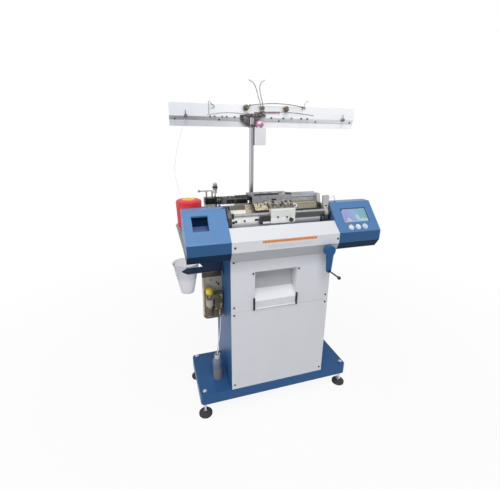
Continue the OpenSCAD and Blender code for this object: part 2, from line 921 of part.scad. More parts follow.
module front_cover() {
    profile = [[column_front - cover_wall, cover_foot], [cover_front, cover_face_bottom], [cover_front, cover_fold],
        [cover_front + cover_slope_d, cover_fold + cover_slope_h]];
    color("whitesmoke") difference() {
        translate([cover_left + seat_gap, 0, 0]) along_x(cover_right - cover_left - 2 * seat_gap)
            polygon(sheet(profile, cover_wall));
        forward(lever_x, column_front - cut_over, lever_z, lever_shaft_d + shaft_window, cover_reach);
    }
}

// A console is a folded shell; the hole in its inner wall takes the wiring
module console_shell(x, w, hole_x) {
    difference() {
        translate([x, 0, 0]) along_x(w) polygon(console_profile);
        translate([x + console_wall, 0, 0]) along_x(w - 2 * console_wall)
            polygon(inset(console_profile, console_wall));
        rightward(hole_x - 2 * console_wall, cable_hole_y, cable_hole_z, cable_hole_d, 4 * console_wall);
    }
}

module pocket_space(grow) {
    box([pocket_x - grow, pocket_front - grow, pocket_floor - grow],
        [pocket_x + pocket_w + grow, pocket_front + pocket_d + grow, pocket_floor + pocket_h + grow]);
}

// The tool pocket is welded into the left console's slope
module left_console() {
    color("steelblue") difference() {
        union() {
            console_shell(left_console_x, left_console_w, cover_left);
            difference() {
                pocket_space(0);
                on_slope(pocket_x - cut_over, 0) cube([pocket_w + 2 * cut_over, console_slope_d * 2, pocket_h]);
            }
        }
        pocket_space(-pocket_wall);
    }
}

module right_console() {
    color("steelblue") {
        difference() {
            console_shell(cover_right, right_console_w, cover_right);
            on_slope(screen_x - push_fit, screen_s - push_fit)
                translate([0, 0, -screen_deep])
                    cube([screen_w + 2 * push_fit, screen_h + 2 * push_fit, 2 * screen_deep]);
            at_buttons() translate([0, 0, -screen_deep])
                cylinder(d = button_d + 2 * run_fit + 2 * collar_wall + 2 * push_fit, h = 2 * screen_deep);
        }
        console_mount();
        translate([cover_right + gland_side, console_ridge + gland_set, console_top])
            cylinder(d = gland_d, h = gland_h);
    }
}

// A welded foot joins the right console to the column's side
module console_mount() {
    box([column_side, panel_back, console_knee_z], [cover_right + console_wall / 2, console_knee_y, column_top]);
}

module at_buttons(first = 0, last = 2) {
    for (i = [first:last]) on_slope(button_x + i * button_pitch, button_s) children();
}

module touch_screen() {
    color("#40464e") on_slope(screen_x, screen_s) difference() {
        translate([0, 0, -screen_deep]) cube([screen_w, screen_h, screen_deep + screen_proud]);
        translate([screen_rim, screen_rim, screen_proud - glass_t - glass_sink])
            cube([screen_w - 2 * screen_rim, screen_h - 2 * screen_rim, glass_t + glass_sink + cut_over]);
    }
}

module screen_glass() {
    rim = screen_rim + push_fit;
    color("skyblue") on_slope(screen_x, screen_s)
        translate([rim, rim, screen_proud - glass_t - glass_sink])
            cube([screen_w - 2 * rim, screen_h - 2 * rim, glass_t]);
}

module button_collars() {
    bore = button_d + 2 * run_fit;
    color("silver") at_buttons() difference() {
        union() {
            cylinder(d = bore + 2 * collar_wall + 2 * collar_rim, h = collar_h);
            translate([0, 0, -collar_l]) cylinder(d = bore + 2 * collar_wall, h = collar_l + collar_h);
        }
        translate([0, 0, -collar_l - cut_over]) cylinder(d = bore, h = collar_l + collar_h + 2 * cut_over);
    }
}

module button_cap(i) {
    at_buttons(i, i) translate([0, 0, -button_tail]) cylinder(d = button_d, h = button_tail + button_proud);
}

module stop_button() {
    color("firebrick") button_cap(0);
}

module start_button() {
    color("seagreen") button_cap(1);
}

module reset_button() {
    color("gainsboro") button_cap(2);
}

// Hub, tapered arm and shaft are one forging
module operating_lever() {
    arm_end = lever_z - lever_arm_l;
    color("steelblue") {
        forward(lever_x, lever_back, lever_z, lever_hub_d, lever_hub_l);
        forward(lever_x, lever_shaft_end, lever_z, lever_shaft_d, lever_shaft_end - lever_front);
        translate([lever_x, lever_front + lever_arm_t, 0]) rotate([90, 0, 0]) linear_extrude(lever_arm_t)
            polygon([[-lever_arm_w / 2, lever_z], [lever_arm_w / 2, lever_z], [lever_end_d / 2, arm_end],
                [-lever_end_d / 2, arm_end]]);
        forward(lever_x, lever_front + lever_arm_t, arm_end, lever_end_d, lever_arm_t);
    }
}

module lever_handle() {
    arm_end = lever_z - lever_arm_l;
    color("#202020") {
        forward(lever_x, lever_front, arm_end, handle_d, lever_handle_l);
        translate([lever_x, lever_front - lever_handle_l, arm_end]) sphere(d = handle_ball_d);
    }
}

// Half of the bed frame: a sloping plate on an upright wall
module bed_frame_half() {
    corner_y = bed_foot_y + bed_t * sin(bed_angle);
    corner_z = bed_foot_z - bed_t * cos(bed_angle);
    on_bed() translate([bed_left, 0, -bed_t - frame_plate_t])
        cube([bed_len, frame_run_share * bed_run, frame_plate_t]);
    box([bed_left, corner_y, deck_top], [bed_left + bed_len, corner_y + frame_wall_t, corner_z]);
}

module bed_frame() {
    corner_y = bed_foot_y + bed_t * sin(bed_angle);
    color("gray") {
        bed_frame_half();
        to_rear() bed_frame_half();
        for (x = [bed_left, bed_left + bed_len - frame_wall_t])
            box([x, corner_y + frame_wall_t / 2, deck_top],
                [x + frame_wall_t, 2 * bed_y - corner_y - frame_wall_t / 2, deck_top + frame_web_h]);
    }
}

// A needle bed is a plate with one groove for each needle
module needle_bed() {
    on_bed() difference() {
        translate([bed_left, 0, -bed_t]) cube([bed_len, bed_run, bed_t]);
        for (i = [0:needle_count - 1]) translate([needle_x(i) - groove_w / 2, -cut_over, -groove_d])
            cube([groove_w, bed_run + 2 * cut_over, groove_d + cut_over]);
    }
}

module needle_beds() {
    color("tan") {
        needle_bed();
        to_rear() needle_bed();
    }
}

// A needle has a stem that lies in its groove, a butt for the cams and a hooked tip
module needle_row() {
    low = push_fit - groove_d;
    foot = needle_foot_share * bed_run;
    butt = needle_butt_shares * bed_run;
    hook = needle_hook_share * bed_run;
    tip = needle_tip_share * bed_run;
    stem = -groove_d / 2;
    on_bed() for (i = [0:needle_count - 1]) translate([needle_x(i) - needle_w / 2, 0, 0]) along_x(needle_w)
        polygon([[foot, low], [foot, stem], [butt[0], stem], [butt[0], needle_butt_h], [butt[1], needle_butt_h],
            [butt[1], stem], [hook, stem], [hook, needle_hook_h], [tip, needle_hook_h], [tip, low]]);
}

module needles() {
    color("gold") {
        needle_row();
        to_rear() needle_row();
    }
}

// A plate fills the front bed's left end, where no needles are, and an apron stands under the front rail
module bed_covers() {
    middle = rail_front + rail_t / 2;
    color("ivory") {
        on_bed() translate([bed_left, end_cover_shares[0] * bed_run, 0])
            cube([needle_left - end_cover_gap - bed_left, (end_cover_shares[1] - end_cover_shares[0]) * bed_run,
                end_cover_t]);
        box([-head_half, middle - apron_t / 2, deck_top], [head_half, middle + apron_t / 2, rail_top - rail_h]);
    }
}

module carriage_rail() {
    box([-head_half, rail_front, rail_top - rail_h], [head_half, rail_front + rail_t, rail_top]);
}

// Two flat rails and the round rod of the yarn feeder
module carriage_rails() {
    color("silver") {
        carriage_rail();
        to_rear() carriage_rail();
        rightward(-head_half - end_frame_t, bed_y, feeder_rod_z, feeder_rod_d, 2 * (head_half + end_frame_t));
    }
}

// Profile of the end frames, a stepped gable
module end_frame(x) {
    difference() {
        translate([x, 0, 0]) along_x(end_frame_t)
            polygon([[end_front, deck_top], [end_front, rail_top - rail_h / 2],
                [rail_front + rail_t, rail_top + rail_t], [bed_y - end_crown, end_shoulder],
                [bed_y - end_crown / 2, end_top], [bed_y + end_crown / 2, end_top],
                [bed_y + end_crown, end_shoulder], [2 * bed_y - rail_front - rail_t, rail_top + rail_t],
                [end_back, rail_top - rail_h / 2], [end_back, deck_top]]);
        rightward(x - cut_over, bed_y, feeder_rod_z, feeder_rod_d + 2 * push_fit, end_frame_t + 2 * cut_over);
    }
}

// The right end frame carries an upright bracket with an eye
module head_end_frames() {
    color("gainsboro") {
        end_frame(-head_half - end_frame_t);
        end_frame(head_half);
        difference() {
            box([head_half, end_bracket_y, end_top - end_bracket_drop],
                [head_half + end_bracket_w, end_bracket_y + end_bracket_t, end_top]);
            forward(head_half + end_bracket_w / 2, end_bracket_y + end_bracket_t + cut_over, bed_z - end_hole_drop,
                end_hole_d, end_bracket_t + 2 * cut_over);
        }
    }
}

// Height of a cam plate's outer face over a plane of depth in front of the bridge
function cam_z(y) = cam_edge - cam_fall_share * (bridge_front - y);
function cam_under(y) = cam_z(y) - cam_t * sqrt(1 + cam_fall_share * cam_fall_share);

// A point over the front bed, s up its slope and n above it, in depth and height
function bed_point(s, n) = [bed_foot_y + s * cos(bed_angle) - n * sin(bed_angle),
    bed_foot_z + s * sin(bed_angle) + n * cos(bed_angle)];

// The cam block hangs from a cam plate to just above the needles' butts
module cam_block() {
    n = needle_butt_h + cam_block_gap;
    low = bed_point(cam_block_shares[0] * bed_run, n);
    high = bed_point(cam_block_shares[1] * bed_run, n);
    grip = shoe_grip_share * cam_t;
    translate([cam_x + cam_block_inset, 0, 0]) along_x(cam_plate_w - 2 * cam_block_inset)
        polygon([low, [low[0], cam_under(low[0]) + grip], [high[0], cam_under(high[0]) + grip], high]);
}

// The shoe under a cam plate slides on the rail
module rail_shoe(x, w) {
    near = rail_front - shoe_edge;
    far = rail_front + rail_t + shoe_edge;
    translate([x, 0, 0]) along_x(w) polygon([[near, rail_top + seat_gap],
        [near, cam_under(near) + shoe_grip_share * cam_t], [far, cam_under(far) + shoe_grip_share * cam_t],
        [far, rail_top + seat_gap]]);
}

module front_cam_plate() {
    color("ivory") difference() {
        union() {
            translate([cam_x, 0, 0]) along_x(cam_plate_w) polygon([[bridge_front, cam_edge],
                [bridge_front, cam_under(bridge_front)], [cam_front + cam_t, cam_under(cam_front + cam_t)],
                [cam_front + cam_t, cam_skirt_foot], [cam_front, cam_skirt_foot], [cam_front, cam_z(cam_front)]]);
            rail_shoe(cam_x, cam_plate_w);
            cam_block();
        }
        forward(knob_x, cam_front + cam_t + cut_over, knob_z, knob_stem_d + 2 * run_fit, cam_t + 2 * cut_over);
    }
}

// An upturned channel that spans the beds, cast with its rear cam plate and round bosses on top
module carriage_bridge() {
    bridge_back = 2 * bed_y - bridge_front;
    right = bridge_x + bridge_w;
    reach = bridge_front - cam_rear_reach;
    color("silver") {
        difference() {
            box([bridge_x, bridge_front, bridge_foot], [right, bridge_back, bridge_top]);
            box([bridge_x - cut_over, bridge_front + bridge_t, bridge_foot - cut_over],
                [right + cut_over, bridge_back - bridge_t, bridge_top - bridge_plate_t]);
        }
        for (share = boss_shares)
            translate([bridge_x + share * bridge_w, bed_y, bridge_top]) cylinder(d = boss_d, h = boss_h);
        to_rear() translate([cam_x, 0, 0]) along_x(cam_plate_w) polygon([[bridge_front, cam_edge],
            [bridge_front, cam_under(bridge_front)], [reach, cam_under(reach)], [reach, cam_z(reach)]]);
        to_rear() rail_shoe(cam_x, cam_plate_w);
        to_rear() cam_block();
    }
}

// Guide block, bar handle and yarn feeder of the carriage
module carriage_fittings() {
    bar_x = bridge_x + top_bar_inset;
    bar_y = bridge_front + top_bar_w / 2;
    feeder_x = bridge_x + feeder_share * bridge_w;
    inner_top = bridge_top - bridge_plate_t;
    color("#202020") {
        box([cam_x - guide_block_w, cam_front - shoe_edge, cam_skirt_foot - shoe_edge],
            [cam_x, cam_front - shoe_edge + guide_block_t, cam_skirt_foot - shoe_edge + guide_block_h]);
        box([bar_x, bar_y - top_bar_w / 2, bridge_top],
            [bar_x + top_bar_l, bar_y + top_bar_w / 2, bridge_top + top_bar_h]);
        for (x = [bar_x, bar_x + top_bar_l])
            translate([x, bar_y, bridge_top]) cylinder(d = top_bar_w, h = top_bar_h);
        box([feeder_x, feeder_y - feeder_t / 2, bed_z + feeder_tip_h],
            [feeder_x + feeder_w, feeder_y + feeder_t / 2, inner_top]);
        translate([feeder_x + feeder_w / 2, feeder_y, bed_z + feeder_tip_h / 2])
            cylinder(d = feeder_tip_d, h = feeder_tip_h);
    }
}

module cam_knob() {
    color("#202020") {
        forward(knob_x, cam_front - seat_gap, knob_z, knob_d, knob_l);
        forward(knob_x, cam_front + cam_t, knob_z, knob_stem_d, cam_t + seat_gap);
    }
}

// Ribbed drum with staggered pegs on its shaft
module selector_drum() {
    shaft_left = drum_left - drum_stand_gap - drum_stand_t;
    shaft_l = drum_l + 2 * (drum_stand_gap + drum_stand_t);
    rib_pitch = (drum_l - drum_rib_t) / (drum_rib_count - 1);
    color("#262626") {
        rightward(shaft_left, selector_y, selector_z, drum_shaft_d, shaft_l);
        rightward(drum_left, selector_y, selector_z, drum_core_d, drum_l);
        for (i = [0:drum_rib_count - 1])
            rightward(drum_left + i * rib_pitch, selector_y, selector_z, drum_rib_d, drum_rib_t);
        for (i = [0:drum_rib_count - 2], j = [0:drum_peg_count - 1])
            translate([drum_left + (i + 0.5) * rib_pitch + drum_rib_t / 2, selector_y, selector_z])
                rotate([360 * (j + i / 3) / drum_peg_count, 0, 0])
                    translate([-drum_peg / 2, -drum_peg_w / 2, drum_core_d / 3])
                        cube([drum_peg, drum_peg_w, drum_rib_d / 2 - drum_core_d / 3]);
    }
}

// Row of thin guide plates beside the drum
module selector_comb() {
    low = shelf_z + shelf_t;
    near = selector_y - comb_d / 2;
    far = selector_y + comb_d / 2;
    shoulder = low + comb_h * (1 - comb_crown_share);
    for (i = [0:comb_count - 1]) translate([comb_left + i * comb_pitch, 0, 0]) along_x(comb_t)
        polygon([[near, low], [near, shoulder], [near + comb_d * comb_crown_share, low + comb_h],
            [far - comb_d * comb_crown_share, low + comb_h], [far, shoulder], [far, low]]);
}

// Folded shelf on two legs with the drum's bearing stands and the guide comb
module selector_shelf() {
    shelf_top = shelf_z + shelf_t;
    near = selector_y - shelf_d / 2;
    far = selector_y + shelf_d / 2;
    color("#3a3a3a") {
        box([shelf_left, near, shelf_z], [shelf_right, far, shelf_top]);
        for (x = shelf_leg_xs) box([x, near, deck_top], [x + shelf_leg_t, column_back, shelf_z]);
        for (x = [drum_left - drum_stand_gap - drum_stand_t, drum_left + drum_l + drum_stand_gap]) difference() {
            box([x, selector_y - drum_stand_w / 2, shelf_top],
                [x + drum_stand_t, selector_y + drum_stand_w / 2, selector_z + drum_stand_rise]);
            rightward(x - cut_over, selector_y, selector_z, drum_shaft_d + 2 * run_fit,
                drum_stand_t + 2 * cut_over);
        }
        selector_comb();
    }
}

// Step motor with end caps, and the yarn guide bridge that stands on it
module selector_motor() {
    right = drum_left - drum_stand_gap - drum_stand_t - coupling_gap;
    left = right - selector_motor_l;
    low = shelf_z + shelf_t;
    high = low + selector_motor_w;
    half = selector_motor_w / 2;
    cap = selector_cap_share * selector_motor_l;
    rod_z = high + bridge_leg_h;
    color("#1c1c1c") {
        box([left + cap, selector_y - half, low], [right - cap, selector_y + half, high]);
        for (x = [left, right - cap])
            translate([x + cap / 2, selector_y, low]) round_block(cap, selector_motor_w, cap / 3, selector_motor_w);
    }
    color("darkgoldenrod") {
        for (x = [left + cap, right - cap])
            translate([x, selector_y, high]) cylinder(d = bridge_leg_d, h = bridge_leg_h);
        rightward(right - guide_reach, selector_y, rod_z, guide_rod_d, guide_rod_l);
        translate([right - guide_reach, selector_y, rod_z]) sphere(d = guide_ball_d);
    }
}

// Knob on a stem that stands on the left bearing stand
module tension_knob() {
    x = drum_left - drum_stand_gap - drum_stand_t / 2;
    low = selector_z + drum_stand_rise + seat_gap;
    color("silver") translate([x, selector_y, low]) {
        cylinder(d = tension_stem_d, h = tension_stem_h);
        translate([0, 0, tension_stem_h - tension_collar_h]) cylinder(d = tension_collar_d, h = tension_collar_h);
        translate([0, 0, tension_stem_h]) cylinder(d = tension_knob_d, h = tension_knob_h);
    }
}

// Smooth guard plate behind the right half of the head
module rear_guard() {
    guard_foot = guard_top - guard_h;
    color("lightgray") {
        box([guard_left, end_back, guard_foot], [guard_right, end_back + guard_t, guard_top]);
        for (share = guard_foot_shares)
            translate([guard_left + share * (guard_right - guard_left), end_back, deck_top])
                cube([guard_foot_w, guard_t, guard_foot - deck_top]);
    }
}

// Motor with a foot on the base
module drive_motor() {
    color("slategray") {
        rightward(motor_face - motor_l, motor_y, motor_axis_z, motor_d, motor_l);
        box([motor_x - motor_foot_w / 2, motor_y - motor_foot_d / 2, base_top],
            [motor_x + motor_foot_w / 2, motor_y + motor_foot_d / 2, motor_axis_z - motor_d / 3]);
    }
}

module motor_pulley() {
    color("dimgray") {
        rightward(motor_face + seat_gap, motor_y, motor_axis_z, motor_shaft_d, motor_shaft_l);
        rightward(pulley_x, motor_y, motor_axis_z, motor_pulley_d, pulley_w);
    }
}

module belt_outline(grow) {
    hull() {
        translate([motor_y, motor_axis_z]) circle(d = motor_pulley_d + 2 * grow);
        translate([motor_y, main_shaft_z]) circle(d = main_pulley_d + 2 * grow);
    }
}

module drive_belt() {
    color("#1c1c1c") translate([pulley_x + (pulley_w - belt_w) / 2, 0, 0]) along_x(belt_w) difference() {
        belt_outline(belt_gap + belt_t);
        belt_outline(belt_gap);
    }
}

module main_shaft() {
    color("gray") {
        rightward(main_shaft_left, motor_y, main_shaft_z, main_shaft_d, main_shaft_right - main_shaft_left);
        rightward(pulley_x, motor_y, main_shaft_z, main_pulley_d, pulley_w);
    }
}

// Post in its foot flange
module yarn_post() {
    color("silver") translate([post_x, post_y, deck_top]) {
        cylinder(d = post_d, h = clamp_z + clamp_h - deck_top);
        cylinder(d = post_flange_d, h = post_flange_t);
        cylinder(d = post_collar_d, h = post_collar_h);
    }
}

module yarn_beam() {
    color("whitesmoke") translate([-beam_left_l, 0, 0]) along_x(beam_left_l + beam_right_l)
        polygon(sheet(beam_profile, beam_wall));
}

// Clamp that holds the beam on the post, and a strut from a ring below to a foot on the beam
module beam_clamp() {
    left = post_x - post_d / 2 - clamp_wall;
    ring_z = box_top + strut_gap;
    ring_edge = post_x - post_d / 2;
    foot = left - strut_reach;
    color("#303030") difference() {
        union() {
            box([left, post_y - post_d / 2 - clamp_wall, clamp_z], [left + clamp_w, beam_front, clamp_z + clamp_h]);
            translate([post_x, post_y, ring_z]) cylinder(d = strut_ring_d, h = strut_ring_h);
            translate([0, beam_front, 0]) rotate([90, 0, 0]) linear_extrude(strut_t)
                polygon([[ring_edge, ring_z], [ring_edge, ring_z + strut_ring_h], [foot + strut_w, clamp_z],
                    [foot + strut_w, clamp_z + strut_foot_h], [foot, clamp_z + strut_foot_h],
                    [foot, clamp_z - strut_foot_h]]);
        }
        translate([post_x, post_y, ring_z - cut_over])
            cylinder(d = post_d + 2 * push_fit, h = clamp_z + clamp_h - ring_z + 2 * cut_over);
    }
}

// A tensioner is turned: stem, two dished discs and a nut
module tensioner(x) {
    stem = tensioner_stem_d / 2;
    disc = tensioner_disc_d / 2;
    nut = tensioner_nut_d / 2;
    at = tensioner_turn_shares * tensioner_l;
    translate([x, beam_front, tensioner_z]) rotate([90, 0, 0]) rotate_extrude()
        polygon([[0, 0], [stem, 0], [stem, at[0]], [disc, at[0] - stem / 2], [disc, at[0] - stem / 4],
            [stem * 2, at[1]], [disc, at[2]], [disc, at[2] + stem / 4], [stem, at[3]], [stem, at[4]], [nut, at[4]],
            [nut, tensioner_l], [0, tensioner_l]]);
}

module eyelet(x) {
    translate([x, beam_front, eyelet_z]) rotate([90, 0, 0]) difference() {
        cylinder(d = eyelet_d, h = eyelet_t);
        translate([0, 0, eyelet_t / 2]) cylinder(d = eyelet_hole_d, h = eyelet_t);
    }
}

module end_guide(x) {
    forward(x, beam_front, end_guide_z, end_guide_d, end_guide_l);
    translate([x, beam_front - end_guide_l / 2, end_guide_z]) cylinder(d = end_guide_stem_d, h = end_guide_stem_h);
}

module pivot(place) {
    forward(place[0], beam_front, place[1], pivot_d, pivot_l);
    forward(place[0], beam_front, place[1], pivot_pin_d, pivot_l + pivot_pin_l);
}

// A place along the beam, as a share of its left or right length
function beam_x(share) = share * (share < 0 ? beam_left_l : beam_right_l);

// Bowed wire over the beam on two stands, and two feeler wires that rise from a block
module fixed_wires() {
    left = -bow_left_share * beam_left_l;
    right = bow_right_share * beam_right_l;
    foot = beam_top - bow_stand;
    block = feeler_block_w / 2;
    wire([for (i = [0:wire_steps]) [left + (right - left) * i / wire_steps, bow_y,
        foot + bow_h * sin(180 * i / wire_steps)]], wire_d, wire_sides, [0, 1, 0]);
    for (x = [left, right]) forward(x, beam_front, foot, wire_d * 2, beam_front - bow_y + wire_d);
    box([feeler_x - block, bow_y - block / 2, tensioner_z - feeler_block_h / 2],
        [feeler_x + block, beam_front, tensioner_z + feeler_block_h / 2]);
    for (i = [0, 1]) wire([for (p = i == 0 ? feeler_left_shares : feeler_right_shares)
        [feeler_x + (i - 1 / 2) * block + feeler_reach * p[0], bow_y, tensioner_z + feeler_lift * p[1]]],
        wire_d, wire_sides, [0, 1, 0]);
}

// Tensioners, eyelets, end guides, pivots and fixed wires on the beam's front
module beam_fittings() {
    color("#4a4a38") {
        for (share = tensioner_shares) tensioner(beam_x(share));
        for (share = eyelet_left_shares) eyelet(beam_x(-share));
        for (share = eyelet_right_shares) eyelet(beam_x(share));
        for (share = end_guide_shares) end_guide(beam_x(share));
        pivot(left_pivot);
        pivot(right_pivot);
        fixed_wires();
    }
}

// A sprung wire arm with a hub that turns on its pivot pin
module take_up(place, length, bow, drop) {
    difference() {
        union() {
            forward(place[0], wire_y + take_up_hub_l / 2, place[1], take_up_hub_d, take_up_hub_l);
            wire([for (i = [0:wire_steps]) let (t = i / wire_steps) [place[0] + sign(length) * take_up_hub_d / 3
                + length * t, wire_y, place[1] + bow * sin(180 * t) - drop * t]], wire_d, wire_sides, [0, 1, 0]);
        }
        forward(place[0], wire_y + take_up_hub_l, place[1], pivot_pin_d + 2 * run_fit, 2 * take_up_hub_l);
    }
}

module left_take_up() {
    color("silver") take_up(left_pivot, -left_wire_l, left_wire_bow, left_wire_drop);
}

module right_take_up() {
    color("silver") take_up(right_pivot, right_wire_l, right_wire_bow, right_wire_drop);
}

module stop_motion_box() {
    x = post_x + post_d / 2 + seat_gap + box_w / 2;
    color("lavender") translate([x, post_y, box_top - box_h]) round_block(box_w, box_d, box_corner_r, box_h);
}

// Round lamp on top of the stop motion's box
module signal_lamp() {
    x = post_x + post_d / 2 + seat_gap + box_w / 2;
    color("lightpink") translate([x, post_y, box_top]) rotate_extrude()
        polygon(concat([[0, 0], [lamp_foot_d / 2, 0]],
            [for (share = lamp_bulb_shares) [share[0] * lamp_d / 2, share[1] * lamp_h]], [[0, lamp_h]]));
}

// A thin-walled tapered bowl with a rolled lip
module bowl() {
    rotate_extrude() polygon([[0, 0], [bowl_bottom_r, 0], [bowl_rim_r, bowl_h - bowl_lip_h],
        [bowl_rim_r + bowl_lip, bowl_h - bowl_lip_h], [bowl_rim_r + bowl_lip, bowl_h],
        [bowl_rim_r - bowl_wall, bowl_h],
        [bowl_bottom_r - bowl_wall, bowl_wall], [0, bowl_wall]]);
}

module yarn_bowls() {
    color("#f4f4f4") {
        translate([upper_bowl[0], upper_bowl[1], upper_bowl_z]) bowl();
        translate([lower_bowl[0], lower_bowl[1], lower_bowl_z]) bowl();
    }
}

// Bent rod that carries the upper bowl on a disc, from a plate on the column's side
module upper_rod() {
    side = -column_side;
    translate([side - stand_plate_t, upper_bowl[1] - stand_plate_w / 2, stand_rod_z - stand_plate_w / 2])
        cube([stand_plate_t, stand_plate_w, stand_plate_w]);
    rightward(upper_bowl[0], upper_bowl[1], stand_rod_z, stand_rod_d, side - upper_bowl[0]);
    translate([upper_bowl[0], upper_bowl[1], stand_rod_z]) {
        sphere(d = stand_rod_d);
        cylinder(d = stand_rod_d, h = upper_bowl_z - stand_rod_z);
    }
    translate([upper_bowl[0], upper_bowl[1], upper_bowl_z - stand_disc_t])
        cylinder(d = stand_disc_d, h = stand_disc_t);
}

// Pointed arm with a gusset, a flange and a boss that the lower bowl's wall is bolted to
module lower_arm() {
    side = -column_side;
    back = arm_y + arm_t / 2;
    top = arm_z + arm_h;
    gusset = arm_l * arm_gusset_shares;
    translate([0, back, 0]) rotate([90, 0, 0]) linear_extrude(arm_t)
        polygon([[side, arm_z], [side, top + arm_gusset_h], [side - gusset[0], top + arm_gusset_h],
            [side - gusset[1], top], [side - arm_l + arm_point, top], [side - arm_l, arm_z + arm_h / 2],
            [side - arm_l + arm_point, arm_z]]);
    box([side - arm_flange_t, arm_y - arm_flange_w / 2, arm_z - arm_flange_over],
        [side, arm_y + arm_flange_w / 2, arm_z + arm_h + arm_flange_over]);
    difference() {
        forward(lower_bowl[0], lower_bowl[1], arm_z + arm_boss_d / 2, arm_boss_d, lower_bowl[1] - arm_y);
        translate([lower_bowl[0], lower_bowl[1], lower_bowl_z]) rotate_extrude()
            polygon([[0, 0], [bowl_bottom_r + seat_gap, 0], [bowl_rim_r + seat_gap, bowl_h - bowl_lip_h],
                [bowl_rim_r + seat_gap, bowl_h], [0, bowl_h]]);
    }
}

module bowl_arms() {
    color("steelblue") {
        upper_rod();
        lower_arm();
    }
}

// The wound package rests with its lower edge on the bowl's wall
module yarn_package() {
    top = package_top_d / 2;
    color("crimson") translate([upper_bowl[0], upper_bowl[1], package_z]) rotate_extrude()
        polygon([[0, 0], [package_bottom_d / 2, 0], [top, package_h - package_round],
            [top - package_round / 3, package_h - package_round / 3], [top - package_round, package_h],
            [0, package_h]]);
}

// Sheet bracket with round lower corners and a flange on the column's side
module oil_bracket() {
    side = -column_side;
    low = oil_bottom + oil_flange_shares[0] * oil_plate_h;
    high = oil_bottom + oil_flange_shares[1] * oil_plate_h;
    color("tan") {
        translate([side - oil_plate_w / 2, oil_y + oil_plate_t, oil_bottom + oil_plate_h / 2]) rotate([90, 0, 0])
            round_block(oil_plate_w, oil_plate_h, oil_plate_r, oil_plate_t);
        box([side - oil_flange_t, oil_y, low], [side, oil_y + oil_plate_t + oil_flange_w, high]);
    }
}

// Pump head and body on the bracket, with a guard ring round the bowl, a drain tube and two screws
module oil_pump() {
    left = oil_right - oil_head_w;
    bowl_x = left + oil_bowl_d / 2;
    bowl_y = oil_y - oil_head_d / 2;
    tube_x = oil_right - oil_tube_inset;
    body_z = oil_head_z - oil_body_h;
    color("#5a5636") {
        box([left, oil_y - oil_head_d, oil_head_z], [oil_right, oil_y, oil_head_z + oil_head_h]);
        box([oil_right - oil_body_w, oil_y - oil_body_d, body_z], [oil_right, oil_y, oil_head_z]);
        translate([tube_x, oil_y - oil_body_d / 2, body_z - oil_tube_h]) cylinder(d = oil_tube_d, h = oil_tube_h);
        translate([bowl_x, bowl_y, oil_head_z - oil_bowl_h + oil_ring_share * oil_bowl_h]) difference() {
            cylinder(d = oil_bowl_d + 2 * oil_ring_t, h = oil_ring_h);
            translate([0, 0, -cut_over]) cylinder(d = oil_bowl_d + 2 * push_fit, h = oil_ring_h + 2 * cut_over);
        }
        for (share = oil_screw_shares) forward(-column_side - (1 - share[0]) * oil_plate_w, oil_y,
            oil_bottom + share[1] * oil_plate_h, oil_screw_d, oil_screw_h);
    }
}

module oil_bowl() {
    r = oil_bowl_d / 2;
    color("#e8e4d8") translate([oil_right - oil_head_w + r, oil_y - oil_head_d / 2, oil_head_z - oil_bowl_h])
        rotate_extrude() polygon([[0, 0], [r - oil_bowl_round, 0], [r, oil_bowl_round], [r, oil_bowl_h],
            [r - oil_bowl_wall, oil_bowl_h], [r - oil_bowl_wall, oil_bowl_round],
            [r - oil_bowl_round, oil_bowl_wall],
            [0, oil_bowl_wall]]);
}

module oil_cap() {
    r = oil_cap_d / 2;
    color("goldenrod") translate([oil_right - oil_head_w + oil_bowl_d / 2, oil_y - oil_head_d / 2,
        oil_head_z + oil_head_h]) rotate_extrude() polygon([[0, 0], [r, 0], [r, oil_cap_h - oil_cap_round],
            [r - oil_cap_round / 3, oil_cap_h - oil_cap_round / 3], [r - oil_cap_round, oil_cap_h],
            [0, oil_cap_h]]);
}

// Open bottle with a shoulder and a neck
module waste_bottle() {
    r = bottle_d / 2;
    neck = bottle_neck_d / 2;
    shoulder = bottle_shoulder_shares * bottle_h;
    color("#eeeeea") translate([bottle[0], bottle[1], base_top]) rotate_extrude()
        polygon([[0, 0], [r, 0], [r, shoulder[0]], [neck, shoulder[1]], [neck, bottle_h],
            [neck - bottle_wall, bottle_h],
            [neck - bottle_wall, shoulder[1] - bottle_wall], [r - bottle_wall, shoulder[0] - bottle_wall],
            [r - bottle_wall, bottle_wall], [0, bottle_wall]]);
}

module yarn_line() {
    color("white") wire(yarn_route, yarn_d, route_sides, [0, 1, 0]);
}

module drain_hose() {
    color("#d8d0c8") wire(hose_route, hose_d, route_sides, [1, 0, 0]);
}

module console_cable() {
    color("white") wire(cable_route, cable_d, route_sides, [0, 1, 0]);
}

// The finished machine stands with the middle of its box over the origin
module placed() {
    translate(-origin) children();
}

placed() base_plinth();
placed() foot_pads();
placed() foot_hardware();
placed() side_frames();
placed() rear_cover();
placed() lower_front_panel();
placed() upper_front_panel();
placed() deck_plate();
placed() delivery_chute();
placed() chute_flap();
placed() flap_brackets();
placed() front_cover();
placed() left_console();
placed() right_console();
placed() touch_screen();
placed() screen_glass();
placed() button_collars();
placed() stop_button();
placed() start_button();
placed() reset_button();
placed() operating_lever();
placed() lever_handle();
placed() bed_frame();
placed() needle_beds();
placed() needles();
placed() bed_covers();
placed() carriage_rails();
placed() head_end_frames();
placed() front_cam_plate();
placed() carriage_bridge();
placed() carriage_fittings();
placed() cam_knob();
placed() selector_drum();
placed() selector_shelf();
placed() selector_motor();
placed() tension_knob();
placed() rear_guard();
placed() drive_motor();
placed() motor_pulley();
placed() drive_belt();
placed() main_shaft();
placed() yarn_post();
placed() beam_clamp();
placed() yarn_beam();
placed() beam_fittings();
placed() left_take_up();
placed() right_take_up();
placed() stop_motion_box();
placed() signal_lamp();
placed() bowl_arms();
placed() yarn_bowls();
placed() yarn_package();
placed() oil_bracket();
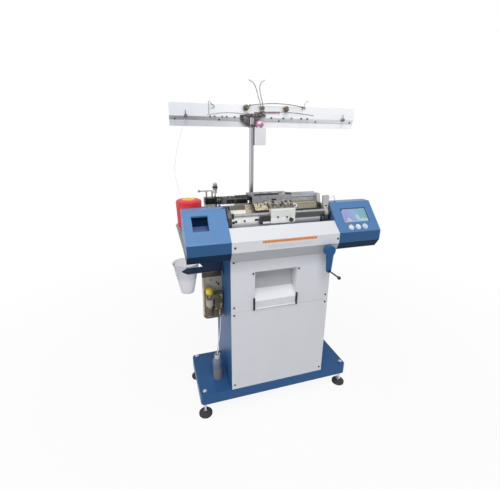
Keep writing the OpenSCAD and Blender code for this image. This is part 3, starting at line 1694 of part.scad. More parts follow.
placed() oil_pump();
placed() oil_bowl();
placed() oil_cap();
placed() waste_bottle();
placed() yarn_line();
placed() drain_hose();
placed() console_cable();
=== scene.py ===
"""Looks of a floor-standing glove knitting machine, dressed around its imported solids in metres."""

import logging
import math
from dataclasses import dataclass, field
from enum import Enum
from functools import cached_property, reduce

import bpy
from mathutils import Matrix, Vector


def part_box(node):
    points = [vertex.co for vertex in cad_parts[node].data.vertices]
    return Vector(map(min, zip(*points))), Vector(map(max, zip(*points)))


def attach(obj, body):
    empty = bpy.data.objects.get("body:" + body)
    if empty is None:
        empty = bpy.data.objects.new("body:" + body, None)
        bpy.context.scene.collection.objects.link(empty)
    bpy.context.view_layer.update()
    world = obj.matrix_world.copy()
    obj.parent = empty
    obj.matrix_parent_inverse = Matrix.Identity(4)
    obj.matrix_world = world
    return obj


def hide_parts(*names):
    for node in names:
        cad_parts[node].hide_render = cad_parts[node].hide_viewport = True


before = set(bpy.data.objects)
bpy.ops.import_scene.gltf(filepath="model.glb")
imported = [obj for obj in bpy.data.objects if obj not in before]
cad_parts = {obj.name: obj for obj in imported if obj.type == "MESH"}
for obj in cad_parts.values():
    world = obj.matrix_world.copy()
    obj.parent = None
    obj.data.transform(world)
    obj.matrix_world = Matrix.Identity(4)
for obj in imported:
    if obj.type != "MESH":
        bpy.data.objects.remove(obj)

LOG = logging.getLogger("knitting_machine")
MM = 0.001
ORIGIN = (6.5, -76.75, 0.0)  # the part's origin in millimetres over the middle of the base
FAR = 3.0  # metres, beyond the machine on every axis
ACROSS, BACK, UP = range(3)
GRAIN_DETAIL = 2.0
BLOTCH_CELLS, BLOTCH_DETAIL = 7.0, 4.0
WEAR_CELLS, WEAR_DETAIL, WEAR_SPREAD = 31.0, 5.0, 0.1
LEAST_ROUGH = 0.03
EDGE_SAMPLES = 4
ROUND_STEPS, CURVE_STEPS = 2, 4
SCREW_SIDES, RING_STEPS = 16, 12
SMOOTH_ANGLE, WIRE_ANGLE = 35.0, 60.0  # degrees under which edges are shaded smooth
MIX_SLOTS, MIX_RESULT = (0, 6, 7), 2  # share, under and over of a colour mix, and its result

Colour = tuple[float, float, float]
Point = tuple[float, float, float]
Pair = tuple[float, float]
Profile = tuple[Pair, ...]
Socket = bpy.types.NodeSocket
Tint = Socket | Colour
Value = Socket | float | Colour


class Body(Enum):
    """Bodies of the machine that pieces ride on."""

    FRAME = "frame"
    CARRIAGE = "carriage"
    TENSION = "tension"


class Axis(Enum):
    """Directions that turned pieces point in, as turns of an upright piece."""

    FRONT = (math.pi / 2, 0.0, 0.0)
    UPRIGHT = (0.0, 0.0, 0.0)


class Board:
    """A material's or world's nodes, with short calls for those that the looks use."""

    def __init__(self, owner: bpy.types.Material | bpy.types.World) -> None:
        """Open the owner's nodes.

        Args:
            owner: the material or world.
        """
        owner.use_nodes = True
        self.tree = owner.node_tree
        self.shader = self.tree.nodes.get("Principled BSDF")

    def put(self, slot: Socket, value: Value) -> None:
        """Link a socket to an input, or set a number or colour on it.

        Args:
            slot: the input.
            value: what goes in.
        """
        if isinstance(value, Socket):
            self.tree.links.new(value, slot)
        else:
            slot.default_value = (*value, 1.0) if slot.type == "RGBA" else value

    def node(self, kind: str, **inputs: Value) -> bpy.types.Node:
        """A new node with some of its inputs filled.

        Args:
            kind: Blender's name of the node.
            inputs: names of inputs with spaces as underscores, and what goes in.

        Returns:
            The node.
        """
        node = self.tree.nodes.new(kind)
        for key, value in inputs.items():
            self.put(node.inputs[key.replace("_", " ")], value)
        return node

    def set(self, **inputs: Value) -> None:
        """Fill inputs of the Principled shader, named with spaces as underscores."""
        for key, value in inputs.items():
            self.put(self.shader.inputs[key.replace("_", " ")], value)

    @cached_property
    def place(self) -> Socket:
        """The object's own coordinates."""
        return self.node("ShaderNodeTexCoord").outputs["Object"]

    @cached_property
    def axes(self) -> tuple[Socket, ...]:
        """The object's own coordinates one by one."""
        return tuple(self.node("ShaderNodeSeparateXYZ", Vector=self.place).outputs)

    def noise(self, cells: float, detail: float, stretch: Point = (1.0, 1.0, 1.0)) -> Socket:
        """A noise value from 0 to 1, by its cells in a metre, octaves and stretch on each axis."""
        place = self.node("ShaderNodeMapping", Vector=self.place, Scale=stretch).outputs[0]
        return self.node("ShaderNodeTexNoise", Vector=place, Scale=cells, Detail=detail).outputs["Fac"]

    def math(self, kind: str, *values: Socket | float) -> Socket:
        """A sum, product or comparison of sockets and numbers.

        Args:
            kind: Blender's name of the operation.
            values: sockets or numbers in order.

        Returns:
            The result.
        """
        node = self.node("ShaderNodeMath")
        node.operation = kind
        for slot, value in zip(node.inputs, values):
            self.put(slot, value)
        return node.outputs[0]

    def product(self, *values: Socket | float) -> Socket:
        """The product of several values, such as masks that all have to hold."""
        return reduce(lambda a, b: self.math("MULTIPLY", a, b), values)

    def over(self, value: Socket, level: float) -> Socket:
        """One where a value lies over a level, and zero elsewhere."""
        return self.math("GREATER_THAN", value, level)

    def under(self, value: Socket, level: float) -> Socket:
        """One where a value lies under a level, and zero elsewhere."""
        return self.math("LESS_THAN", value, level)

    def band(self, value: Socket, low: float, high: float) -> Socket:
        """One where a value lies between two limits, and zero elsewhere."""
        return self.product(self.over(value, low), self.under(value, high))

    def spread(self, value: Socket, low: float, high: float, start: float = 0.0, end: float = 1.0) -> Socket:
        """A value between a start and an end, spread to lie between low and high."""
        return self.node("ShaderNodeMapRange", Value=value, From_Min=start, From_Max=end,
                         To_Min=low, To_Max=high).outputs[0]

    def mix(self, mask: Socket | float, under: Tint, over: Tint, blend: str = "MIX") -> Socket:
        """Two colours mixed by a mask.

        Args:
            mask: share of the second colour.
            under: colour where the mask is zero.
            over: colour where the mask is one.
            blend: Blender's name of the blend.

        Returns:
            The mixed colour.
        """
        node = self.node("ShaderNodeMix")
        node.data_type, node.blend_type = "RGBA", blend
        for index, value in zip(MIX_SLOTS, (mask, under, over)):
            self.put(node.inputs[index], value)
        return node.outputs[MIX_RESULT]


@dataclass(frozen=True)
class Finish:
    """A surface: its colour, gloss and grain."""

    name: str
    colour: Colour  # linear
    rough: float = 0.45
    metal: float = 0.0
    grain: float = 900.0  # cells in a metre
    depth: float = 0.00006  # of the grain, in metres
    blotch: float = 0.10  # how far the colour varies
    edge: float = 0.0012  # radius of rounded edges in metres
    streak: Point = (1.0, 1.0, 1.0)  # stretch of the grain on each axis
    extra: dict[str, float | Colour] = field(default_factory=dict)  # further constants, such as a coat

    def tint(self, board: Board) -> Tint:
        """Base colour before the blotches."""
        return self.colour

    def height(self, board: Board) -> Socket:
        """Height of the grain, which the finish's bump takes."""
        return board.noise(self.grain, GRAIN_DETAIL, self.streak)

    def gloss(self, board: Board) -> None:
        """Set what changes from place to place, apart from the colour."""

    def material(self) -> bpy.types.Material:
        """Build the finish once and return it after that.

        Returns:
            The finish's material.
        """
        label = f"finish_{self.name}"
        found = bpy.data.materials.get(label)
        if found:
            return found
        material = bpy.data.materials.new(label)
        board = Board(material)
        shade = board.spread(board.noise(BLOTCH_CELLS, BLOTCH_DETAIL), 1 - self.blotch, 1 + self.blotch)
        dull = board.node("ShaderNodeCombineColor", Red=shade, Green=shade, Blue=shade).outputs[0]
        rough = max(self.rough - WEAR_SPREAD, LEAST_ROUGH), min(self.rough + WEAR_SPREAD, 1.0)
        bevel = board.node("ShaderNodeBevel", Radius=self.edge)
        bevel.samples = EDGE_SAMPLES
        bump = board.node("ShaderNodeBump", Height=self.height(board), Strength=1.0,
                          Distance=self.depth, Normal=bevel.outputs[0])
        board.set(Base_Color=board.mix(1.0, self.tint(board), dull, "MULTIPLY"), Metallic=self.metal,
                  Roughness=board.spread(board.noise(WEAR_CELLS, WEAR_DETAIL), *rough),
                  Normal=bump.outputs[0], **self.extra)
        self.gloss(board)
        return material


@dataclass(frozen=True)
class Zone:
    """A stretch along one axis, in metres, with a colour of its own."""

    axis: int  # ACROSS, BACK or UP
    low: float
    high: float
    colour: Colour = (0.0, 0.0, 0.0)
    soft: float = 0.001  # length over which the stretch fades in
    within: tuple["Zone", ...] = ()  # further stretches, outside of which this one doesn't show

    def mask(self, board: Board) -> Socket:
        """How far a place lies in this stretch and in those that it is within.

        Args:
            board: the material's nodes.

        Returns:
            A share from 0 to 1.
        """
        value, half = board.axes[self.axis], self.soft / 2
        start = board.spread(value, 0.0, 1.0, self.low - half, self.low + half)
        end = board.spread(value, 0.0, 1.0, self.high + half, self.high - half)
        return board.product(start, end, *(zone.mask(board) for zone in self.within))


@dataclass(frozen=True)
class ZoneFinish(Finish):
    """A finish with stretches of other colours laid over it in order."""

    zones: tuple[Zone, ...] = ()

    def tint(self, board: Board) -> Tint:
        """Base colour with each stretch laid over it."""
        return reduce(lambda under, zone: board.mix(zone.mask(board), under, zone.colour),
                      self.zones, self.colour)


@dataclass(frozen=True)
class SpeckFinish(ZoneFinish):
    """A finish with specks of a second colour, such as small parts too fine to model, or the painted
    highlights on the oil pump.
    """

    specks: Colour = (0.5, 0.5, 0.5)
    cells: float = 120.0  # in a metre
    level: float = 0.55  # of the noise, above which a speck shows
    above: float = -FAR  # height in metres over which specks show

    def tint(self, board: Board) -> Socket:
        """Zones with the specks laid over them."""
        spots = board.over(board.noise(self.cells, GRAIN_DETAIL), self.level)
        return board.mix(board.product(spots, board.over(board.axes[UP], self.above)),
                         super().tint(board), self.specks)


@dataclass(frozen=True)
class ConsoleFinish(ZoneFinish):
    """Enamel that is dull in two stretches, such as the consoles' undersides."""

    dull: tuple[Zone, ...] = ()
    shine: float = 0.4
    matt: float = 0.03  # shine where it is dull

    def gloss(self, board: Board) -> None:
        """Set the shine by place."""
        dull = board.math("MAXIMUM", *(zone.mask(board) for zone in self.dull))
        board.set(Specular_IOR_Level=board.spread(dull, self.shine, self.matt))


@dataclass(frozen=True)
class ApronFinish(ZoneFinish):
    """Enamel behind and a polished metal face in front."""

    front: float = 0.0  # depth in metres in front of which the metal shows
    polish: float = 0.9

    def gloss(self, board: Board) -> None:
        """Make the front face metal."""
        board.set(Metallic=board.product(board.under(board.axes[BACK], self.front), self.polish))


@dataclass(frozen=True)
class YarnFinish(Finish):
    """Wound yarn: crossing turns round an upright axis."""

    centre: Pair = (0.0, 0.0)  # axis of the package in metres
    turns: float = 420.0  # radians in a metre of height
    slant: float = 5.0  # radians in a radian round the axis

    def height(self, board: Board) -> Socket:
        """Two sets of slanted turns that cross.

        Args:
            board: the material's nodes.

        Returns:
            The height.
        """
        x, y, z = board.axes
        away = [board.math("SUBTRACT", value, middle) for value, middle in zip((x, y), self.centre)]
        turn = board.math("ARCTAN2", away[1], away[0])
        lines = []
        for slant in (self.slant, -self.slant):
            phase = board.math("ADD", board.product(z, self.turns), board.product(turn, slant))
            lines.append(board.math("SINE", phase))
        return board.math("MAXIMUM", *lines)


@dataclass(frozen=True)
class ScreenFinish(Finish):
    """A lit display with plain fields of colour."""

    left: float = 0.0  # edge of the picture in metres
    width: float = 0.1
    ends: tuple[Colour, Colour] = ((0.30, 0.26, 0.56), (0.12, 0.38, 0.36))  # left and right
    middle: Colour = (0.22, 0.36, 0.58)
    centre: float = 0.45  # where the middle colour lies, from 0 to 1
    pale: Colour = (0.55, 0.72, 0.68)
    cells: float = 26.0  # of the pale fields in a metre
    detail: float = 3.0
    level: float = 0.55  # of the noise, above which a pale field shows
    share: float = 0.5  # of the pale colour there

    def tint(self, board: Board) -> Socket:
        """Lilac to blue to teal from left to right, with pale fields.

        Args:
            board: the material's nodes.

        Returns:
            The picture's colour.
        """
        along = board.spread(board.axes[ACROSS], 0.0, 1.0, self.left, self.left + self.width)
        ramp = board.node("ShaderNodeValToRGB", Fac=along)
        stops = ramp.color_ramp.elements
        for stop, colour in zip(stops, self.ends):
            stop.color = (*colour, 1.0)
        stops.new(self.centre).color = (*self.middle, 1.0)
        fields = board.over(board.noise(self.cells, self.detail), self.level)
        return board.mix(board.product(fields, self.share), ramp.outputs[0], self.pale)

    def gloss(self, board: Board) -> None:
        """Light the picture a little behind its glass."""
        board.set(Emission_Color=board.shader.inputs["Base Color"].links[0].from_socket)


@dataclass(frozen=True)
class StripeFinish(Finish):
    """White paint with a plain orange stripe and fine grey marks on the front face, in metres."""

    stripe: tuple[float, float, float, float] = (0.0, 0.1, 0.0, 0.01)  # left, right, lower, upper edge
    front: float = 0.0  # depth up to which the marks are printed
    turn: float = 0.0  # height below which the sheet turns in, painted darker there as shade
    under: Colour = (0.5, 0.5, 0.5)  # painted shade on the sheet that turns in and faces down
    inks: tuple[tuple[float, Colour], ...] = (  # share and colour of stripe, dashes and marks
        (0.95, (0.86, 0.36, 0.13)), (0.8, (0.60, 0.17, 0.03)), (0.5, (0.30, 0.30, 0.32)))
    dashes: float = 62.0  # in a metre
    gap: float = 0.3  # share of a dash's length
    border: float = 0.003  # of the stripe, without dashes
    flecks: float = 420.0  # cells of the marks in a metre
    detail: float = 1.0
    stretch: Point = (1.0, 0.0, 0.35)
    level: float = 0.56  # of the noise, above which a mark shows
    rows: Pair = (1.9, 0.6)  # limits of the marks, in heights below the stripe
    margin: float = 2.0  # free ends of the marks' rows, in heights of the stripe

    def tint(self, board: Board) -> Socket:
        """Stripe and marks over the paint.

        Args:
            board: the material's nodes.

        Returns:
            The printed colour.
        """
        left, right, low, high = self.stripe
        step = high - low
        x, y, z = board.axes
        face = board.under(y, self.front)
        bar = board.product(board.band(x, left, right), face, board.band(z, low, high))
        dash = board.over(board.math("FRACT", board.product(x, self.dashes)), self.gap)
        core = board.product(bar, dash, board.band(z, low + self.border, high - self.border))
        inner = board.band(x, left + self.margin * step, right - self.margin * step)
        rows = board.band(z, *(low - share * step for share in self.rows))
        fleck = board.over(board.noise(self.flecks, self.detail, self.stretch), self.level)
        printed: Tint = self.colour
        masks = bar, core, board.product(inner, face, rows, fleck)
        for mask, (share, ink) in zip(masks, self.inks):
            printed = board.mix(board.product(mask, share), printed, ink)
        # painted shade on the sheet that turns in below the fold
        return board.mix(board.under(z, self.turn), printed, self.under)


def spot(x: float, y: float, z: float) -> Point:
    """A place in the part's frame, in metres, from millimetres over the middle of the base."""
    return tuple((a - b) * MM for a, b in zip((x, y, z), ORIGIN))


def solid_box(node: str) -> tuple[Vector, Vector]:
    """Lowest and highest corner of a solid at rest."""
    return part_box(node)


def scaled(profile: Profile, radius: float, height: float) -> Profile:
    """An outline in millimetres from a profile that is one wide and one high."""
    return tuple((across * radius, up * height) for across, up in profile)


class Bench:
    """Modelling steps done with Blender's own operators, each on a clean selection."""

    @staticmethod
    def clear() -> None:
        """Leave edit mode and deselect everything."""
        if bpy.context.object and bpy.context.object.mode != "OBJECT":
            bpy.ops.object.mode_set(mode="OBJECT")
        bpy.ops.object.select_all(action="DESELECT")

    @staticmethod
    def settle(name: str, finish: Finish, body: Body, smooth: float = SMOOTH_ANGLE) -> None:
        """Apply the active object's place, name it, dress it and let it ride.

        Args:
            name: the piece's name.
            finish: its finish.
            body: the body it rides on.
            smooth: angle in degrees under which edges are shaded smooth.
        """
        piece = bpy.context.object
        bpy.ops.object.transform_apply()
        piece.name = name
        piece.data.name = name
        piece.data.materials.clear()
        piece.data.materials.append(finish.material())
        bpy.ops.object.shade_smooth_by_angle(angle=math.radians(smooth))
        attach(piece, body.value)
        LOG.info("piece %s rides on %s", name, body.value)

    @classmethod
    def turned(cls, name: str, outline: Profile, place: Point, axis: Axis, finish: Finish,
               body: Body = Body.FRAME, sides: int = 24) -> None:
        """Turn an outline round an axis.

        Args:
            name: the piece's name.
            outline: radius and height pairs from the bottom to the top, in millimetres.
            place: where the outline's zero lies, in metres.
            axis: the direction that the outline's height follows.
            finish: the piece's finish.
            body: the body it rides on.
            sides: sides of the round.
        """
        cls.clear()
        radius, height = outline[0]
        bpy.ops.mesh.primitive_circle_add(vertices=sides, radius=radius * MM, fill_type="NGON",
                                          location=(0, 0, height * MM))
        piece = bpy.context.object
        bpy.ops.object.transform_apply()
        bpy.ops.object.mode_set(mode="EDIT")
        bpy.ops.mesh.select_mode(type="FACE")
        bpy.ops.mesh.select_all(action="SELECT")
        for (radius, height), (new_radius, new_height) in zip(outline, outline[1:]):
            rise = (0, 0, (new_height - height) * MM)
            bpy.ops.mesh.extrude_region_move(TRANSFORM_OT_translate={"value": rise})
            grow = new_radius / radius
            bpy.ops.transform.resize(value=(grow, grow, 1.0), center_override=(0, 0, new_height * MM))
        bpy.ops.mesh.select_all(action="SELECT")
        bpy.ops.mesh.normals_make_consistent(inside=False)
        bpy.ops.object.mode_set(mode="OBJECT")
        piece.rotation_euler = axis.value
        piece.location = place
        cls.settle(name, finish, body)

    @classmethod
    def block(cls, name: str, low: Point, high: Point, finish: Finish, body: Body = Body.FRAME,
              tilt: float = 0.0, edge: float = 0.001) -> None:
        """A block between two corners with rounded edges.

        Args:
            name: the piece's name.
            low: lowest corner in metres.
            high: highest corner in metres.
            finish: the piece's finish.
            body: the body it rides on.
            tilt: turn about the block's middle, across the machine, in radians.
            edge: width of its rounded edges in metres.
        """
        cls.clear()
        low_corner, high_corner = Vector(low), Vector(high)
        bpy.ops.mesh.primitive_cube_add(size=1.0)
        piece = bpy.context.object
        piece.scale = high_corner - low_corner
        bpy.ops.object.transform_apply()
        bevel = piece.modifiers.new("round", "BEVEL")
        bevel.width = edge
        bevel.segments = ROUND_STEPS
        bevel.limit_method = "ANGLE"
        bpy.ops.object.modifier_apply(modifier=bevel.name)
        piece.rotation_euler = (tilt, 0.0, 0.0)
        piece.location = (low_corner + high_corner) / 2
        cls.settle(name, finish, body)

    @classmethod
    def wire(cls, name: str, route: tuple[Point, ...], radius: float, finish: Finish,
             body: Body = Body.FRAME) -> None:
        """A bent wire along points, as a mesh.

        Args:
            name: the piece's name.
            route: points in millimetres over the middle of the base.
            radius: the wire's radius in metres.
            finish: the piece's finish.
            body: the body it rides on.
        """
        cls.clear()
        curve = cls.spline(name, [spot(*point) for point in route], radius)
        bpy.context.view_layer.objects.active = curve
        curve.select_set(True)
        bpy.ops.object.convert(target="MESH")
        cls.settle(name, finish, body, WIRE_ANGLE)

    @staticmethod
    def spline(name: str, points: list[Point], radius: float) -> bpy.types.Object:
        """An open round curve along points.

        Args:
            name: the curve's name.
            points: points in metres.
            radius: radius of its round in metres.

        Returns:
            The curve object.
        """
        data = bpy.data.curves.new(name, "CURVE")
        data.dimensions = "3D"
        data.bevel_depth = radius
        data.bevel_resolution = ROUND_STEPS
        data.use_fill_caps = True
        data.resolution_u = CURVE_STEPS
        line = data.splines.new("BEZIER")
        line.bezier_points.add(len(points) - 1)
        for knot, point in zip(line.bezier_points, points):
            knot.co = point
            knot.handle_left_type = knot.handle_right_type = "AUTO"
        curve = bpy.data.objects.new(name, data)
        bpy.context.scene.collection.objects.link(curve)
        return curve


SHINE_TINT: Colour = (0.5, 0.8, 1.0)
WHITE_TINT: Colour = (0.76, 0.77, 0.80)
# painted shadow colour of the screen's recess
BEZEL_SHADE: Colour = (0.012, 0.030, 0.070)
PLASTIC_IOR = 1.3
ENAMEL = {"grain": 800, "depth": 0.00003, "blotch": 0.03}
PLASTIC = {"grain": 900, "depth": 0.00003, "blotch": 0.03}
PAINT = {"grain": 700, "depth": 0.00002}
COAT = {"extra": {"Coat_Weight": 0.3, "Coat_Roughness": 0.15}}
BRUSHED: Point = (0.02, 1.0, 1.0)
DRAWN: Point = (0.05, 1.0, 1.0)


def shine(level: float) -> dict[str, float | Colour]:
    """Constants of an enamel with a faintly tinted shine of some level."""
    return {"Specular_IOR_Level": level, "Specular_Tint": SHINE_TINT}


def translucent(share: float) -> dict[str, float | Colour]:
    """Constants of a plastic that lets a share of the light through."""
    return {"Transmission_Weight": share, "IOR": PLASTIC_IOR}


# each row: name, colour, roughness, metal, grain, its depth and blotch, as far as they aren't the default
BLUE = Finish("blue_paint", (0.032, 0.108, 0.270), 0.42, **PAINT, blotch=0.05, extra=shine(0.26))
ARM = Finish("arm_paint", (0.034, 0.050, 0.105), 0.4, **PAINT, blotch=0.15, extra=shine(0.2))
WHITE = Finish("white_paint", WHITE_TINT, **ENAMEL)
RUBBER = Finish("black_rubber", (0.030, 0.030, 0.033), 0.75, grain=500, depth=0.0001, edge=0.003)
STEEL = Finish("bright_steel", (0.55, 0.56, 0.58), 0.28, 1.0, 260, 0.00004, streak=DRAWN)
POST = Finish("post_steel", (0.33, 0.33, 0.35), 0.22, 1.0, 300, 0.00002, streak=(1.0, 1.0, 0.03))
CAST = Finish("cast_silver", (0.40, 0.40, 0.41), 0.42, 0.7, 420, 0.0001)
STAINLESS = Finish("stainless", (0.78, 0.79, 0.82), 0.30, 0.55, 380, 0.00003, 0.04, streak=BRUSHED)
DARK = Finish("dark_steel", (0.022, 0.023, 0.026), 0.45, 0.3, 500, 0.00008)
BLACK = Finish("black_plastic", (0.012, 0.012, 0.013), 0.4, depth=0.00005)
PALE = Finish("white_plastic", (0.78, 0.78, 0.80), 0.35, **PLASTIC, **COAT)
BOX = Finish("box_plastic", (0.80, 0.78, 0.80), 0.35, **PLASTIC, **COAT)
YELLOW = Finish("yellow_plastic", (0.92, 0.66, 0.05), 0.35, **COAT)
RED_CAP = Finish("red_cap", (0.88, 0.78, 0.86), 0.3, **COAT)
GREEN_CAP = Finish("green_cap", (0.70, 0.92, 0.94), 0.3, **COAT)
LILAC_CAP = Finish("lilac_cap", (0.62, 0.72, 0.86), 0.3, **COAT)
CONE = Finish("cone_core", (0.90, 0.46, 0.035), 0.4, **COAT)
MOTOR = Finish("motor_paint", (0.10, 0.12, 0.14), 0.4, **COAT)
BED = Finish("bed_metal", (0.26, 0.23, 0.18), 0.4, 0.5, 300, streak=(1.0, 0.1, 0.1))
NEEDLE = Finish("needle_metal", (0.94, 0.84, 0.62), 0.35, 0.2, 900, 0.00003, edge=0.0003)
WIRE = Finish("wire_steel", (0.20, 0.20, 0.21), 0.35, 0.8, 900, 0.00002, edge=0.0004)
LIP = Finish("lip_brass", (0.80, 0.70, 0.50), 0.4, 0.2, 300, 0.00005)
OLIVE = Finish("olive_metal", (0.075, 0.068, 0.038), 0.42, 0.35, 420, 0.0001, 0.2)
BRASS = Finish("brass", (0.52, 0.42, 0.24), 0.35, 0.5, 500, 0.00005)
ROSE = Finish("rose_paint", (0.40, 0.22, 0.26), 0.4)
THREAD = Finish("white_yarn", (0.80, 0.79, 0.77), 0.8, grain=2500, depth=0.0001)
BELT = Finish("belt_rubber", (0.02, 0.02, 0.02), 0.8)

PINK = SpeckFinish("pink_lens", (0.82, 0.56, 0.68), 0.2, grain=300, depth=0.00002,
                   specks=(0.46, 0.20, 0.33), cells=55.0, level=0.56)
BRIDGE = SpeckFinish("bridge_metal", (0.29, 0.29, 0.31), 0.4, 0.5, 90, 0.0003, 0.25,
                     specks=(0.21, 0.21, 0.22), cells=75.0, level=0.60)
DRUM = SpeckFinish("drum_metal", (0.022, 0.022, 0.025), 0.4, 0.3, 300, 0.0002,
                   specks=(0.24, 0.235, 0.22), cells=130.0, level=0.56)
CLAMP = SpeckFinish("clamp_metal", (0.05, 0.05, 0.055), 0.4, 0.3, 300, 0.0002,
                    specks=(0.22, 0.18, 0.19), cells=80.0)
# painted highlights: the light amber specks on the dark pump
PUMP = SpeckFinish("pump_metal", (0.105, 0.092, 0.058), 0.4, 0.35, 420, 0.0001, 0.2,
                   specks=(0.33, 0.28, 0.21), cells=60.0)
FITTING = SpeckFinish("fitting_metal", (0.13, 0.12, 0.075), 0.42, 0.3, 420, 0.0001,
                      specks=(0.34, 0.25, 0.25), cells=70.0)
WING = SpeckFinish("wing_metal", (0.66, 0.57, 0.41), 0.4, 0.1, 300, 0.0001,
                   specks=(0.10, 0.08, 0.055), cells=190.0, level=0.57)
CAM = SpeckFinish("cam_plate", (0.96, 0.96, 0.96), 0.4, 0.05, 700, 0.00004, 0.05,
                  specks=(0.50, 0.45, 0.35), cells=150.0, level=0.59, above=1.189, zones=(
                      # painted shade: above 1.143 m the plate's skirt is greyer
                      Zone(UP, 1.143, FAR, (0.78, 0.79, 0.75), 0.003),
                      Zone(UP, 1.189, FAR, (0.10, 0.095, 0.08), 0.004),
                      Zone(UP, 1.208, FAR, (0.24, 0.24, 0.25), 0.004)))

# painted shade: the plate is darker below 0.585 m
ZINC = ZoneFinish("zinc_plate", (0.50, 0.45, 0.38), 0.42, 0.25, 130, 0.00005, 0.22, zones=(
    Zone(UP, -FAR, 0.585, (0.19, 0.17, 0.11), 0.03),))
MILKY = ZoneFinish("milky_plastic", (0.96, 0.96, 0.99), 0.35, grain=300, depth=0.00003,
                   extra=translucent(0.80), zones=(
                       Zone(UP, 0.765, FAR, (0.82, 0.82, 0.86), 0.02),
                       Zone(UP, 0.90, FAR, (0.60, 0.60, 0.63), 0.02)))
AMBER = ZoneFinish("oil_glass", (0.70, 0.62, 0.56), 0.12, grain=200, depth=0.00002,
                   extra=translucent(0.3), zones=(
                       Zone(UP, -FAR, 0.594, (0.20, 0.17, 0.10), 0.004),))
BOTTLE = ZoneFinish("bottle_plastic", (0.15, 0.19, 0.27), 0.3, grain=300, depth=0.00003, blotch=0.15,
                    zones=(Zone(UP, 0.295, FAR, (0.66, 0.64, 0.66), 0.012),
                           Zone(UP, -FAR, 0.222, (0.27, 0.25, 0.25), 0.02)))
# painted shadow: the upper panel darkens towards its top edge, under the front cover
PANEL = ZoneFinish("panel_shaded_paint", WHITE_TINT, **ENAMEL, zones=(
    Zone(UP, 0.905, FAR, (0.60, 0.61, 0.64), 0.07),))
ENDS = ZoneFinish("end_frame_metal", (0.39, 0.37, 0.32), 0.42, 0.35, 420, 0.0001, zones=(
    Zone(UP, 1.195, FAR, (0.50, 0.50, 0.50), 0.004),
    # painted shade: below 1.142 m the end frames are dark navy, where the right console's side lies in shade
    # behind the bracket
    Zone(UP, -FAR, 1.142, (0.05, 0.055, 0.07), 0.004),
    Zone(ACROSS, -FAR, 0.0, (0.06, 0.06, 0.065))))

CHUTE_LOW = solid_box("delivery_chute")[0]
# painted shade: the chute's back wall, inside, is darker
DUCT = ZoneFinish("chute_paint", (0.82, 0.83, 0.85), 0.5, **ENAMEL, zones=(
    Zone(UP, CHUTE_LOW.z + 0.049, FAR, (0.34, 0.35, 0.38), 0.004,
         (Zone(BACK, CHUTE_LOW.y + 0.05, FAR, soft=0.1),)),))

SHADE_SPLIT = 0.07  # where the painted light on the left half of the rail and apron gives way to painted shade on the right half
LEFT = (Zone(ACROSS, -FAR, SHADE_SPLIT),)
RIGHT = (Zone(ACROSS, SHADE_SPLIT, FAR),)
# painted light and shade: a light band on the left half, dark lines, and a dark right half with a grey top
RAIL = ZoneFinish("rail_steel", (0.50, 0.51, 0.53), 0.3, 0.4, 260, 0.00004, streak=DRAWN, zones=(
    Zone(UP, 1.155, 1.161, (0.24, 0.24, 0.25), 0.002, LEFT),
    Zone(UP, 1.0, 1.150, (0.92, 0.92, 0.93), 0.002, LEFT),
    Zone(UP, 1.0, 1.161, (0.085, 0.09, 0.095), 0.002, RIGHT),
    Zone(UP, 1.145, 1.150, (0.06, 0.07, 0.075), 0.002, RIGHT),
    Zone(UP, 1.2, FAR, (0.05, 0.05, 0.055), within=LEFT),
    Zone(UP, 1.2, FAR, (0.42, 0.43, 0.45), within=RIGHT)))
APRON_FRONT = solid_box("bed_covers")[0].y + 0.006
APRON_FACE = Zone(BACK, -FAR, APRON_FRONT, (0.96, 0.96, 0.97))
APRON = ApronFinish("bed_cover_plate", (0.86, 0.83, 0.71), 0.4, 0.05, 700, 0.00004, 0.05,
                    front=APRON_FRONT, zones=(
                        Zone(UP, 1.177, FAR, (0.05, 0.045, 0.04), 0.003), APRON_FACE,
                        # painted shade on the right half of the apron's face
                        Zone(UP, 1.128, 1.2, (0.10, 0.11, 0.115), 0.004, (*RIGHT, APRON_FACE)),
                        Zone(UP, 1.0, 1.128, (0.58, 0.61, 0.63), 0.004, (*RIGHT, APRON_FACE))))

SELECTOR_FOOT = solid_box("selector_motor")[0].z
SELECTOR = ZoneFinish("selector_metal", (0.016, 0.016, 0.018), 0.4, 0.4, 500, zones=(
    Zone(UP, -FAR, SELECTOR_FOOT + 0.022, (0.62, 0.62, 0.63)),
    Zone(UP, SELECTOR_FOOT + 0.0565, FAR, (0.34, 0.33, 0.29))))

BEZEL_HIGH = solid_box("touch_screen")[1]
# painted shadow of the recess along the bezel's top and right edges
BEZEL = ZoneFinish("screen_bezel", (0.40, 0.45, 0.58), 0.4, grain=700, depth=0.00003, zones=(
    Zone(UP, BEZEL_HIGH.z - 0.012, FAR, BEZEL_SHADE), Zone(ACROSS, BEZEL_HIGH.x - 0.008, FAR, BEZEL_SHADE)))

# painted shade: the consoles' downward faces below the fold are dark navy, with their shine turned down
UNDERSIDE_SHADE = Zone(UP, -FAR, 1.0005, (0.014, 0.036, 0.082), 0.003)
POCKET_WIDTH = Zone(ACROSS, -0.4705, -0.3875)
# painted shade: the pocket's recess is darker, with its shine turned down
POCKET = Zone(UP, 1.090, 1.172, (0.007, 0.029, 0.074), 0.004,
              (POCKET_WIDTH, Zone(BACK, -0.040, -0.006, soft=0.02)))
